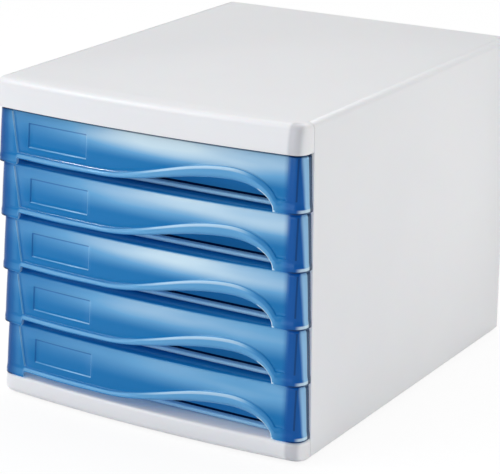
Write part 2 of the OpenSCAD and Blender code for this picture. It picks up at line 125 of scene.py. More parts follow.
class Workpiece:
    """One mesh on the bench, shaped with Blender's own operators; all its lengths are in mm."""

    def __init__(self, name: str) -> None:
        """Takes up the active object and names it."""
        self.obj: bpy.types.Object = bpy.context.object
        self.obj.name = name
        self.obj.data.name = name

    # -- starts

    @staticmethod
    def clear_bench() -> None:
        """Leaves edit mode and deselects everything."""
        active = bpy.context.view_layer.objects.active
        if active and active.mode != "OBJECT":
            bpy.ops.object.mode_set(mode="OBJECT")
        bpy.ops.object.select_all(action="DESELECT")

    @classmethod
    def skin(cls, name: str, rows: Sequence[Sequence[Point]]) -> "Workpiece":
        """Lays a grid over rows of points, and welds points that coincide.

        Args:
            name: name of the new piece.
            rows: rows of equal length, the lowest first, each from left to right.

        Returns:
            The open skin.
        """
        cls.clear_bench()
        across, up = len(rows[0]) - 1, len(rows) - 1
        bpy.ops.mesh.primitive_grid_add(x_subdivisions=across, y_subdivisions=up, size=1)
        piece = cls(name)
        piece.place_points(point for row in rows for point in row)
        with piece.editing():
            bpy.ops.mesh.remove_doubles(threshold=WELD * MM)
        return piece

    @classmethod
    def block(cls, name: str, low: Point, high: Point, rounding: float = 0.3) -> "Workpiece":
        """Adds a cube between two corners, with its edges rounded.

        Args:
            name: name of the new piece.
            low: lowest corner.
            high: highest corner.
            rounding: width of the bevel on each edge, or 0.

        Returns:
            The block.
        """
        cls.clear_bench()
        centre = metres((a + b) / 2 for a, b in zip(low, high))
        size = metres(b - a for a, b in zip(low, high))
        bpy.ops.mesh.primitive_cube_add(size=1, location=centre, scale=size)
        piece = cls(name)
        piece.settle()
        if rounding:
            piece.round_edges(rounding, 2, every)
        return piece

    @classmethod
    def drum(cls, name: str, foot: Point, radius: float, height: float) -> "Workpiece":
        """Adds an upright cylinder that stands on its foot point."""
        cls.clear_bench()
        bpy.ops.mesh.primitive_cylinder_add(
            vertices=DRUM_SIDES, radius=radius * MM, depth=height * MM,
            location=metres((foot[0], foot[1], foot[2] + height / 2)),
        )
        piece = cls(name)
        piece.settle()
        return piece

    @classmethod
    def profile(cls, name: str, section: Sequence[Flat], start: float, length: float) -> "Workpiece":
        """Draws a closed section in x and z, and extrudes it backwards along y.

        Args:
            name: name of the new piece.
            section: corners of the section, as (x, z).
            start: y of the front end.
            length: how far the section runs.

        Returns:
            The extruded piece, with its faces turned outwards.
        """
        cls.clear_bench()
        bpy.ops.mesh.primitive_circle_add(vertices=len(section), radius=1, fill_type="NGON")
        piece = cls(name)
        piece.place_points((x, start, z) for x, z in section)
        with piece.editing():
            piece.push((0, length, 0))
            piece.face_outwards()
        return piece

    def place_points(self, points: Iterable[Point]) -> None:
        """Moves every point of the mesh to its place."""
        self.obj.data.vertices.foreach_set("co", [value * MM for point in points for value in point])
        self.obj.data.update()

    # -- edit-mode work

    def hold(self) -> None:
        """Selects this piece alone."""
        self.clear_bench()
        self.obj.select_set(True)
        bpy.context.view_layer.objects.active = self.obj

    def settle(self) -> None:
        """Puts the object's place, turn and scale into its mesh."""
        self.hold()
        bpy.ops.object.transform_apply(location=True, rotation=True, scale=True)

    @contextmanager
    def editing(self) -> Iterator[None]:
        """Edit mode for the work inside, with the whole mesh selected at its start."""
        self.hold()
        bpy.ops.object.mode_set(mode="EDIT")
        bpy.ops.mesh.select_all(action="SELECT")
        yield
        bpy.ops.object.mode_set(mode="OBJECT")

    @staticmethod
    def push(offset: Point) -> None:
        """Extrudes the selected faces by an offset."""
        bpy.ops.mesh.extrude_region_move(TRANSFORM_OT_translate={"value": metres(offset)})

    @staticmethod
    def face_outwards() -> None:
        """Turns all faces of a closed mesh outwards."""
        bpy.ops.mesh.select_all(action="SELECT")
        bpy.ops.mesh.normals_make_consistent(inside=False)

    def pick_faces(self, test: Test) -> int:
        """Selects the faces that pass a test on their centre and normal, and counts them."""
        bpy.context.tool_settings.mesh_select_mode = (False, False, True)
        bpy.ops.mesh.select_all(action="DESELECT")
        mesh = bmesh.from_edit_mesh(self.obj.data)
        chosen = [face for face in mesh.faces if test(face.calc_center_median() / MM, face.normal)]
        for face in chosen:
            face.select_set(True)
        bmesh.update_edit_mesh(self.obj.data)
        return len(chosen)

    def pick_edges(self, test: Test, open_only: bool = False, turn: float = 0) -> int:
        """Selects the edges that pass a test on their middle and direction.

        Args:
            test: the test.
            open_only: looks only at edges with a single face.
            turn: least angle between the edge's faces, in degrees.

        Returns:
            How many edges it selected.
        """
        bpy.context.tool_settings.mesh_select_mode = (False, True, False)
        bpy.ops.mesh.select_all(action="DESELECT")
        mesh = bmesh.from_edit_mesh(self.obj.data)
        count = 0
        for edge in mesh.edges:
            if open_only and len(edge.link_faces) != 1:
                continue
            if turn and edge.calc_face_angle(0) < math.radians(turn):
                continue
            start, end = edge.verts[0].co, edge.verts[1].co
            if test((start + end) / 2 / MM, (end - start).normalized()):
                edge.select_set(True)
                count += 1
        bmesh.update_edit_mesh(self.obj.data)
        return count

    def round_edges(self, width: float, segments: int, test: Test, turn: float = 0) -> None:
        """Bevels the edges that pass a test, where their faces turn by at least an angle."""
        with self.editing():
            if self.pick_edges(test, turn=turn):
                bpy.ops.mesh.bevel(
                    offset=width * MM, segments=segments, affect="EDGES", clamp_overlap=not turn,
                )

    def cap_top(self, top: float) -> None:
        """Closes the open chain of edges at a height with one flat face that looks up."""
        with self.editing():
            self.pick_edges(lambda at, way: at.z > top - NEAR, open_only=True)
            bpy.ops.mesh.edge_face_add()
            mesh = bmesh.from_edit_mesh(self.obj.data)
            mesh.normal_update()
            widest = max(mesh.faces, key=lambda face: face.calc_area())
            if widest.normal.z < 0:
                widest.normal_flip()
            bmesh.update_edit_mesh(self.obj.data)

    def pull_edges(self, test: Test, offset: Point) -> None:
        """Extrudes the open edges that pass a test by an offset."""
        with self.editing():
            self.pick_edges(test, open_only=True)
            bpy.ops.mesh.extrude_edges_move(TRANSFORM_OT_translate={"value": metres(offset)})

    def pull_faces(self, test: Test, offset: Point) -> None:
        """Extrudes the faces that pass a test by an offset."""
        with self.editing():
            if self.pick_faces(test):
                self.push(offset)

    def sink(self, test: Test, rim: float, depth: float) -> None:
        """Insets the faces that pass a test by a rim, and pushes them in by a depth along -z."""
        with self.editing():
            self.pick_faces(test)
            bpy.ops.mesh.inset(thickness=rim * MM, depth=0)
            self.push((0, 0, -depth))

    def bridge_lining(self, lining: "Workpiece") -> None:
        """Joins an inner skin to this outer one, and closes the wall between their open edges."""
        self.join([lining])
        with self.editing():
            self.pick_edges(every, open_only=True)
            bpy.ops.mesh.bridge_edge_loops()
            self.face_outwards()

    def cut_level(self, point: Point, normal: Point) -> None:
        """Cuts a clean line round the mesh where a plane meets it."""
        with self.editing():
            bpy.ops.mesh.bisect(plane_co=metres(point), plane_no=normal)

    # -- whole pieces

    def apply(self, kind: str, **settings: object) -> None:
        """Adds one modifier, sets it and applies it."""
        self.hold()
        modifier = self.obj.modifiers.new(kind.title(), kind)
        for key, value in settings.items():
            setattr(modifier, key, value)
        bpy.ops.object.modifier_apply(modifier=modifier.name)

    def thicken(self, wall: float) -> None:
        """Gives an open skin its wall, on the inner side."""
        self.apply("SOLIDIFY", thickness=wall * MM, offset=-1, use_even_offset=True, use_quality_normals=True)

    def soften(self, width: float, segments: int, angle: float = 60) -> None:
        """Rounds every edge that turns by more than an angle in degrees."""
        self.apply(
            "BEVEL", width=width * MM, segments=segments, limit_method="ANGLE",
            angle_limit=math.radians(angle), use_clamp_overlap=False, harden_normals=False,
        )

    def join(self, others: Iterable["Workpiece"]) -> None:
        """Joins other pieces into this one."""
        self.hold()
        for other in others:
            other.obj.select_set(True)
        bpy.ops.object.join()

    def copy(self, name: str, offset: Point = (0, 0, 0)) -> "Workpiece":
        """Makes a copy with a mesh of its own, moved by an offset."""
        self.hold()
        bpy.ops.object.duplicate(linked=False)
        twin = Workpiece(name)
        bpy.ops.transform.translate(value=metres(offset))
        twin.settle()
        return twin

    def mirrored(self, name: str) -> "Workpiece":
        """Makes a copy on the other flank, with its faces turned outwards again."""
        twin = self.copy(name)
        twin.obj.data.transform(Matrix.Scale(-1, 4, Vector((1, 0, 0))))
        with twin.editing():
            bpy.ops.mesh.flip_normals()
        return twin

    def scrap(self) -> None:
        """Takes a piece that served only as a pattern off the bench."""
        self.clear_bench()
        bpy.data.objects.remove(self.obj)

    def smooth(self, angle: float = 35) -> None:
        """Shades the piece smooth, except over edges sharper than the angle in degrees."""
        self.hold()
        bpy.ops.object.shade_smooth_by_angle(angle=math.radians(angle))

    def hand_over(self, node: str, body: str, slot: Slot, material: Material) -> None:
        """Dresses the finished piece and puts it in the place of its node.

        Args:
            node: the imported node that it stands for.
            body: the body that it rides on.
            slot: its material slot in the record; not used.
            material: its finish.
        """
        self.obj.data.materials.clear()
        self.obj.data.materials.append(material)
        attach(self.obj, body)
        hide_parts(node)
        log.info("%s: %d faces, rides on %s", self.obj.name, len(self.obj.data.polygons), body)


# ------------------------------------------------------------------ finishes


class NodeSheet:
    """A material's nodes, laid out and linked by short calls."""

    def __init__(self, name: str) -> None:
        """Starts an empty sheet with an output."""
        self.material = bpy.data.materials.new(name)
        self.material.use_nodes = True
        self.tree = self.material.node_tree
        self.tree.nodes.clear()
        self.output = self.tree.nodes.new("ShaderNodeOutputMaterial")
        spots = self.tree.nodes.new("ShaderNodeTexCoord").outputs
        self.place: Socket = spots["Object"]
        self.unwrap: Socket = spots["UV"]

    def add(self, kind: str, inputs: Optional[dict] = None, **settings: object) -> bpy.types.Node:
        """Adds a node; inputs that are sockets are linked, and others are set.

        Args:
            kind: node type without its ShaderNode prefix.
            inputs: values or sockets by input name or index.
            settings: properties of the node itself.

        Returns:
            The node.
        """
        node = self.tree.nodes.new("ShaderNode" + kind)
        for key, value in settings.items():
            setattr(node, key, value)
        for key, value in (inputs or {}).items():
            if isinstance(value, Socket):
                self.tree.links.new(value, node.inputs[key])
            else:
                node.inputs[key].default_value = value
        return node

    def math(self, operation: str, *values: object, clamp: bool = False) -> Socket:
        """One arithmetic step on sockets or numbers."""
        return self.add("Math", dict(enumerate(values)), operation=operation, use_clamp=clamp).outputs[0]

    def noise(self, scale: float, detail: float, roughness: float = 0.5, draw: float = 1) -> Socket:
        """Noise in object space, in features per metre; draw below 1 draws it out along x."""
        place = self.place
        if draw != 1:
            place = self.add("Mapping", {"Vector": place, "Scale": (draw, 1, 1)}).outputs["Vector"]
        inputs = {"Vector": place, "Scale": scale, "Detail": detail, "Roughness": roughness}
        return self.add("TexNoise", inputs).outputs["Fac"]

    def spread(self, value: object, low: float, high: float, start: float = 0, end: float = 1) -> Socket:
        """Maps a range smoothly on to another, held at both ends."""
        inputs = {"Value": value, "From Min": low, "From Max": high, "To Min": start, "To Max": end}
        return self.add("MapRange", inputs, interpolation_type="SMOOTHSTEP").outputs["Result"]

    def band(self, value: object, low: float, high: float, soft: float) -> Socket:
        """1 between low and high, easing to 0 over the soft width outside them."""
        return self.times(self.spread(value, low - soft, low), self.spread(value, high, high + soft, 1, 0))

    def times(self, first: object, *others: object) -> Socket:
        """Product of several sockets or numbers."""
        for other in others:
            first = self.math("MULTIPLY", first, other)
        return first

    def total(self, first: object, *others: object) -> Socket:
        """Sum of several sockets or numbers, held between 0 and 1."""
        for other in others:
            first = self.math("ADD", first, other, clamp=True)
        return first

    def most(self, first: object, *others: object) -> Socket:
        """Largest of several sockets or numbers."""
        for other in others:
            first = self.math("MAXIMUM", first, other)
        return first

    def axes(self, vector: Socket) -> list[Socket]:
        """The three parts of a vector."""
        return list(self.add("SeparateXYZ", {"Vector": vector}).outputs)

    def mix(self, share: object, low: object, high: object) -> Socket:
        """Mixes two colours."""
        return self.add("Mix", {0: share, 6: low, 7: high}, data_type="RGBA").outputs[2]

    def ramp(self, value: Socket, stops: Sequence[tuple[float, Colour]]) -> Socket:
        """Colours a value by stops of position and colour: the two ends first, then any between."""
        node = self.add("ValToRGB", {"Fac": value})
        elements = node.color_ramp.elements
        for index, (position, colour) in enumerate(stops):
            element = elements[index] if index < 2 else elements.new(position)
            element.position, element.color = position, colour
        return node.outputs["Color"]

    def bump(self, height: Socket, depth: float, strength: float) -> Socket:
        """Turns a height into a normal; depth is in metres."""
        inputs = {"Height": height, "Distance": depth, "Strength": strength}
        return self.add("Bump", inputs).outputs["Normal"]

    def finish(self, surface: bpy.types.Node) -> Material:
        """Links the surface and hands back the material."""
        self.tree.links.new(surface.outputs[0], self.output.inputs["Surface"])
        return self.material


@dataclass(frozen=True)
class HousingPlastic:
    """Pale polystyrene with a fine satin grain, faint flow marks and polished high spots, and a painted shade
    band down the right front corner of the cover and the plinth.
    """

    colour: Colour = (0.83, 0.833, 0.848, 1)
    shade: Colour = (0.79, 0.795, 0.815, 1)
    painted_corner_shade: Colour = (0.52, 0.525, 0.56, 1)
    roughness: float = 0.34
    flow_per_metre: float = 7
    scuffs_per_metre: float = 90
    grain_per_metre: float = 1900
    grain_depth: float = 0.03 * MM
    # where the painted shade band lies, in metres: across the right front corner, and from its front back to
    # its end
    shade_band_inner: float = 122.5 * MM
    shade_band_outer: float = 128.5 * MM
    shade_band_front: float = -156 * MM
    shade_band_rear: float = -150 * MM

    def make(self) -> Material:
        """Builds the material."""
        sheet = NodeSheet("housing_plastic")
        flow = sheet.noise(self.flow_per_metre, 4)
        grain = sheet.noise(self.grain_per_metre, 2)
        scuffs = sheet.spread(sheet.noise(self.scuffs_per_metre, 5, 0.65), 0.55, 0.8)
        colour = sheet.mix(sheet.spread(flow, 0.35, 0.75, 0, 0.55), self.colour, self.shade)
        across, depth = sheet.axes(sheet.place)[:2]
        # painted shade: the right front corner of the cover and plinth darkened, fading towards the rear
        turn = sheet.times(sheet.band(across, self.shade_band_inner, self.shade_band_outer, 3 * MM),
                           sheet.spread(depth, self.shade_band_front, self.shade_band_rear, 0.75, 0))
        colour = sheet.mix(turn, colour, self.painted_corner_shade)
        rough = sheet.math("MULTIPLY_ADD", grain, 0.1, self.roughness - 0.05)
        rough = sheet.math("MULTIPLY_ADD", scuffs, 0.08, rough)
        shell = sheet.add("BsdfPrincipled", {
            "Base Color": colour, "Roughness": rough, "Normal": sheet.bump(grain, self.grain_depth, 0.35),
            "IOR": 1.5, "Subsurface Weight": 0.08, "Subsurface Scale": 4 * MM,
        })
        return sheet.finish(shell)


@dataclass(frozen=True)
class TintedPlastic:
    """Translucent blue polystyrene, from a deep tint to a milky one; each kind's tint lays painted light and
    shade over it.
    """

    name: str
    deep: Colour = (0.003, 0.102, 0.40, 1)
    body: Colour = (0.008, 0.203, 0.51, 1)
    # the veil and the milk-white carry painted light: the milky haze, painted highlights and glints
    veil_and_highlight: Colour = (0.17, 0.46, 0.75, 1)
    milk_and_highlight: Colour = (0.76, 0.93, 1.0, 1)
    sheen: Colour = (0.45, 0.75, 1.0, 1)
    painted_flank_light: Colour = (0.40, 0.70, 0.96, 1)
    passing: Colour = (0.66, 0.80, 0.93, 1)
    # near-black for painted shadow in gaps and seams
    painted_shadow: Colour = (0.001, 0.015, 0.07, 1)
    clearness: float = 0.22
    roughness: float = 0.16
    daylight: float = 0.92
    glimmer: float = 0.4
    gloss: float = 0.36
    foot_level: float = 17 * MM
    pitch: float = 42.4 * MM
    streaks_per_metre: float = 26
    speckle_per_metre: float = 700
    waves_per_metre: float = 38
    wave_depth: float = 0.2 * MM

    def make(self) -> Material:
        """Builds the material."""
        sheet = NodeSheet(self.name)
        speckle = sheet.noise(self.speckle_per_metre, 2)
        waves = sheet.noise(self.waves_per_metre, 2)
        shell = sheet.add("BsdfPrincipled", {
            "Base Color": self.tint(sheet, sheet.noise(self.streaks_per_metre, 3, draw=0.16)),
            "Roughness": sheet.math("MULTIPLY_ADD", speckle, 0.06, self.roughness - 0.03),
            "Normal": sheet.bump(waves, self.wave_depth, 0.12), "IOR": 1.5, "Specular IOR Level": self.gloss,
            "Specular Tint": self.sheen, "Transmission Weight": self.clearness,
        })
        clear = sheet.add("BsdfTransparent", {"Color": self.passing})
        rays = sheet.add("LightPath").outputs
        let_by = sheet.most(sheet.times(rays["Is Diffuse Ray"], self.glimmer),
                            sheet.times(rays["Is Shadow Ray"], self.daylight))
        return sheet.finish(sheet.add("MixShader", {0: let_by, 1: shell.outputs[0], 2: clear.outputs[0]}))

    def level(self, sheet: NodeSheet, height: Socket) -> Socket:
        """Height above the drawer's own foot, as a share of the pitch."""
        risen = sheet.math("SUBTRACT", height, self.foot_level)
        return sheet.math("FRACT", sheet.math("DIVIDE", risen, self.pitch))

    def tint(self, sheet: NodeSheet, streaks: Socket) -> Socket:
        """Colour of the plastic at a point."""
        raise NotImplementedError


@dataclass(frozen=True)
class TrayPlastic(TintedPlastic):
    """The trays' plain tint, with a painted highlight on the lip and a painted shadow line over it at the
    front wall's foot.
    """

    deep: Colour = (0.04, 0.33, 0.62, 1)
    body: Colour = (0.08, 0.46, 0.78, 1)
    clearness: float = 0.12
    wall_face: float = -146 * MM

    def tint(self, sheet: NodeSheet, streaks: Socket) -> Socket:
        """Even tint, with a painted highlight on the lip and a painted shadow line where the wall rises from
        it.
        """
        depth, height = sheet.axes(sheet.place)[1:]
        level = self.level(sheet, height)
        colour = sheet.mix(sheet.spread(streaks, 0.35, 0.7), self.deep, self.body)
        # painted highlight along the lip, ahead of the wall
        ahead = sheet.spread(depth, self.wall_face - 0.3 * MM, self.wall_face - 0.1 * MM, 1, 0)
        lip = sheet.times(ahead, sheet.band(level, 0.02, 0.12, 0.01), 0.4)
        front = sheet.band(depth, self.wall_face - 0.4 * MM, self.wall_face + 0.1 * MM, 0.2 * MM)
        # painted shadow on a line where the wall meets the lip
        line = sheet.times(sheet.band(level, 0.093, 0.125, 0.008), front)
        return sheet.mix(line, sheet.mix(lip, colour, self.milk_and_highlight), self.painted_shadow)


@dataclass(frozen=True)
class FrontPlastic(TintedPlastic):
    """The fronts' tint: mostly painted light and shade over the blue, with a milky painted reflection in the
    upper middle, painted highlights on rims and edges, and painted shade at the corners, the ledges and the
    gaps.

    Masks read a point's place in metres and its unwrapped height, up, which is 0 at the cut edge
    and 1 at the back of the top ledge. It tells the wave-cut rim from the panel above it. Fields
    named rows are stretches of up, and the other pairs are stretches across the face.
    """

    label_left: float = -100 * MM
    label_right: float = -47 * MM
    label_foot: float = 0.43
    label_top: float = 0.74
    panel_left: float = -108.1 * MM
    panel_lean: float = 8.97 * MM
    panel_rows: Flat = (0.28, 0.83)
    reflection_rows: Flat = (0.3, 0.87)
    crest_rows: Flat = (0.19, 0.225)
    hem_rows: Flat = (0.085, 0.15)
    glint_rows: Flat = (0.05, 0.09)
    brink_rows: Flat = (-0.01, 0.045)
    foot_rows: Flat = (-0.01, 0.03)
    shelf_rows: Flat = (0.0, 0.01)
    wave: Flat = (-40 * MM, 30 * MM)
    steep_end: Flat = (83 * MM, 100 * MM)
    brink: Flat = (99.5 * MM, 109.5 * MM)
    left_corner: Flat = (-129 * MM, -114 * MM)
    right_corner: Flat = (115.5 * MM, 122.5 * MM)
    pillar: Flat = (-118.5 * MM, -116.5 * MM)
    painted_corner_line: Flat = (126.6 * MM, 127.3 * MM)
    flank: Flat = (127.5 * MM, 129 * MM)

    def tint(self, sheet: NodeSheet, streaks: Socket) -> Socket:
        """Lays the painted light over the body colour, then the painted shade, the painted flank highlights
        and glints, and the painted shadow in the gaps.
        """
        place = sheet.axes(sheet.place)
        across, depth, height = place
        up = sheet.axes(sheet.unwrap)[1]
        beside = sheet.math("ABSOLUTE", across)
        flanks = sheet.spread(beside, *self.flank)
        rows = sheet.band(up, *self.panel_rows, 0.02)
        field = sheet.band(across, self.label_left, self.label_right, 0.6 * MM)
        lean = sheet.math("MULTIPLY_ADD", self.level(sheet, height), self.panel_lean, across)
        # painted light: the milky painted reflection, the rim and label highlights, a highlight line by the
        # panel's edge and a faint highlight down the left pillar
        pale = sheet.total(
            self._milk_and_painted_reflection(sheet, streaks, across, height, up),
            *self._rim_light(sheet, across, depth, up),
            *self._label_light(sheet, across, up, field),
            # painted highlight just outside the panel's left edge, and a faint painted highlight down the
            # left pillar
            sheet.times(self._line(sheet, lean, self.panel_left, -0.6, -0.1, 0.4), rows, 0.4),
            sheet.times(sheet.band(across, *self.pillar, 3 * MM), sheet.spread(up, 0.2, 0.4, 0, 0.06)),
        )
        # the painted light runs from the body tint through the veil to milk-white
        colour = sheet.ramp(pale, ((0, self.body), (1, self.milk_and_highlight), (0.4, self.veil_and_highlight)))
        # painted shade, mixed towards the deep tint: the label field's top and left edge, a line inside the
        # panel's edge, the rear of the top ledge under the drawer above, and both corners, deepened as thick
        # plastic also would be
        dark = (
            sheet.total(
                *self._label_shade(sheet, across, up, field),
                # painted shade line just inside the panel's left edge
                sheet.times(self._line(sheet, lean, self.panel_left, 0.4, 1.4, 0.6), rows, 0.35),
            ),
            sheet.times(sheet.spread(up, *self.shelf_rows, 0.3, 0),
                        sheet.spread(depth, -155 * MM, -151 * MM)),
            sheet.spread(across, *self.right_corner),
            sheet.spread(across, *self.left_corner, 1, 0),
        )
        colour = sheet.mix(sheet.most(*dark), colour, self.deep)
        # painted highlight: a pale stripe down the rear of each flank
        glow = sheet.times(flanks, sheet.spread(depth, -156.2 * MM, -153.5 * MM, 0, 0.85))
        colour = sheet.mix(glow, colour, self.painted_flank_light)
        # painted glint: a pale mark low on the corners, just above the foot
        painted_foot_glint = sheet.times(sheet.band(up, *self.glint_rows, 0.02),
                           sheet.spread(beside, 127 * MM, 131 * MM, 0, 0.8))
        colour = sheet.mix(painted_foot_glint, colour, self.milk_and_highlight)
        # painted shadow in the gaps, mixed towards near-black
        return sheet.mix(self._painted_gap_shadows(sheet, place, up, rows, flanks), colour, self.painted_shadow)

    @staticmethod
    def _line(sheet: NodeSheet, value: Socket, edge: float, low: float, high: float, soft: float) -> Socket:
        """A fine line beside an edge; its bounds and softness are in mm."""
        return sheet.band(value, edge + low * MM, edge + high * MM, soft * MM)

    def _milk_and_painted_reflection(self, sheet: NodeSheet, streaks: Socket, across: Socket, height: Socket, up: Socket) -> Socket:
        """Milky haze on the panel that is mostly painted reflection, brightest in the upper middle and on the
        higher drawers.
        """
        bottom, top = self.reflection_rows
        lift = sheet.math("ADD", self.level(sheet, height), sheet.spread(across, 40 * MM, 100 * MM, 0, 0.08))
        return sheet.times(
            sheet.spread(lift, 0.45, 0.83),
            sheet.spread(across, -120 * MM, 36 * MM, 0.16), sheet.spread(across, 28 * MM, 118 * MM, 1, 0.7),
            sheet.spread(streaks, 0.3, 0.7, 0.7, 1.3),
            sheet.spread(up, bottom - 0.04, bottom), sheet.spread(up, top, top + 0.09, 1, 0),
            sheet.spread(height, 30 * MM, 230 * MM, 0.64),
        )

    def _rim_light(self, sheet: NodeSheet, across: Socket, depth: Socket, up: Socket) -> list[Socket]:
        """Painted highlights on the arch's bead, the skirt's hem, the brink at the steep end and the cut
        edge, and on the front of the top ledge.
        """
        crest = sheet.times(sheet.band(up, *self.crest_rows, 0.03),
                            sheet.spread(across, 75 * MM, 100 * MM, 0.42, 0.05))
        flank = sheet.times(sheet.spread(up, 0.12, 0.17), sheet.spread(across, *self.steep_end, 0, 0.8))
        bead = sheet.times(sheet.spread(up, 0.0, 0.1, 0.18, 0.34), sheet.math("SUBTRACT", 1, flank))
        bead = sheet.times(
            sheet.math("ADD", bead, crest), sheet.spread(up, 0.245, 0.27, 1, 0),
            sheet.spread(across, *self.wave), sheet.spread(across, 107 * MM, 117 * MM, 1, 0.2),
        )
        hem = sheet.times(
            sheet.band(up, *self.hem_rows, 0.04), sheet.spread(across, *self.wave, 0.36, 0),
            sheet.spread(across, -112.5 * MM, -108.5 * MM, 0.3),
        )
        brink = sheet.times(sheet.band(up, *self.brink_rows, 0.02), sheet.band(across, *self.brink, 3 * MM))
        shelf = sheet.times(sheet.spread(up, *self.shelf_rows, 1, 0),
                            sheet.spread(depth, -158 * MM, -152 * MM, 0.55, 0.1))
        return [bead, hem, brink, shelf]

    def _label_light(self, sheet: NodeSheet, across: Socket, up: Socket, field: Socket) -> list[Socket]:
        """Painted highlights on the label field's foot and right side."""
        foot = sheet.times(sheet.band(up, self.label_foot, self.label_foot + 0.06, 0.015), field,
                           sheet.spread(across, -100 * MM, -50 * MM, 0.22, 0.5))
        right = sheet.times(self._line(sheet, across, self.label_right, 0.1, 0.7, 0.3),
                            sheet.band(up, self.label_foot, self.label_top - 0.02, 0.02), 0.25)
        return [foot, right]

    def _label_shade(self, sheet: NodeSheet, across: Socket, up: Socket, field: Socket) -> list[Socket]:
        """Painted shade under the label field's top and inside its left edge."""
        top = sheet.times(sheet.band(up, self.label_top - 0.08, self.label_top, 0.02), field, 0.5)
        left = sheet.times(self._line(sheet, across, self.label_left, -0.8, -0.2, 0.4),
                           sheet.band(up, self.label_foot, self.label_top, 0.02), 0.4)
        return [top, left]

    def _painted_gap_shadows(self, sheet: NodeSheet, place: Sequence[Socket], up: Socket, rows: Socket,
               flanks: Socket) -> Socket:
        """Painted shadow round a front: under the cover over the top drawer, down the left end, behind the
        flanks, at the corner feet, and a dark line down the right corner.
        """
        across, depth, height = place
        beside = sheet.math("ABSOLUTE", across)
        return sheet.total(
            sheet.times(sheet.spread(height, 225.9 * MM, 227 * MM, 0, 0.75), sheet.spread(up, 0.3, 0.5)),
            sheet.spread(across, -130 * MM, -117 * MM, 0.35, 0),
            sheet.times(flanks, sheet.spread(depth, -150.5 * MM, -149.8 * MM, 0, 0.9)),
            sheet.times(sheet.band(up, *self.foot_rows, 0.02),
                        sheet.spread(beside, 119 * MM, 127 * MM, 0, 0.85)),
            sheet.times(sheet.band(across, *self.painted_corner_line, 0.5 * MM), rows, 0.55),
        )


@dataclass(frozen=True)
class FootRubber:
    """Dark rubber with a dusty grain."""

    dark: Colour = (0.018, 0.018, 0.02, 1)
    dust: Colour = (0.09, 0.088, 0.085, 1)
    roughness: float = 0.75
    grain_per_metre: float = 1300
    grain_depth: float = 0.08 * MM

    def make(self) -> Material:
        """Builds the material."""
        sheet = NodeSheet("foot_rubber")
        grain = sheet.noise(self.grain_per_metre, 4)
        colour = sheet.mix(sheet.spread(grain, 0.4, 0.75), self.dark, self.dust)
        normal = sheet.bump(grain, self.grain_depth, 0.5)
        inputs = {"Base Color": colour, "Roughness": self.roughness, "Normal": normal}
        return sheet.finish(sheet.add("BsdfPrincipled", inputs))


# -------------------------------------------------------------- bowed outline


@dataclass(frozen=True)
class BowedLine:
    """The bowed plan line that the cover, the plinth and the drawer fronts share."""

    half_width: float = 133
    crown_y: float = -167.5
    rise: float = 7
    corner_steps: int = 12
    bow_steps: int = 48

    @property
    def radius(self) -> float:
        """Radius of the large arc."""
        return (self.half_width ** 2 + self.rise ** 2) / (2 * self.rise)

    @property
    def centre_y(self) -> float:
        """Y of the large arc's centre."""
        return self.crown_y + self.radius

    def y(self, x: float, inset: float) -> float:
        """Y of the line at x, moved back by an inset."""
        return self.centre_y - math.sqrt((self.radius - inset) ** 2 - x * x)

    def corner(self, front_inset: float, side_inset: float, radius: float) -> list[Flat]:
        """Points of the right corner, from the bow round to the side.

        Args:
            front_inset: how far the bow is moved back.
            side_inset: how far the side is moved in.
            radius: plan radius of the corner.

        Returns:
            The points as (x, y).
        """
        reach = self.radius - front_inset - radius
        x = self.half_width - side_inset - radius
        y = self.centre_y - math.sqrt(reach * reach - x * x)
        turn = arc(radius, math.asin(x / reach) - QUARTER, 0, self.corner_steps)
        return [(x + across, y + back) for across, back in turn]

    def outline(self, front_inset: float, side_inset: float, radius: float, rear_y: float) -> list[Flat]:
        """The open front outline, from the left rear end round to the right one."""
        turn = self.corner(front_inset, side_inset, radius)
        reach = turn[0][0]
        marks = [reach * (2 * i / self.bow_steps - 1) for i in range(1, self.bow_steps)]
        bow = [(x, self.y(x, front_inset)) for x in marks]
        side = self.half_width - side_inset
        return [(-side, rear_y)] + [(-x, y) for x, y in reversed(turn)] + bow + turn + [(side, rear_y)]


# ------------------------------------------------------------------- housing


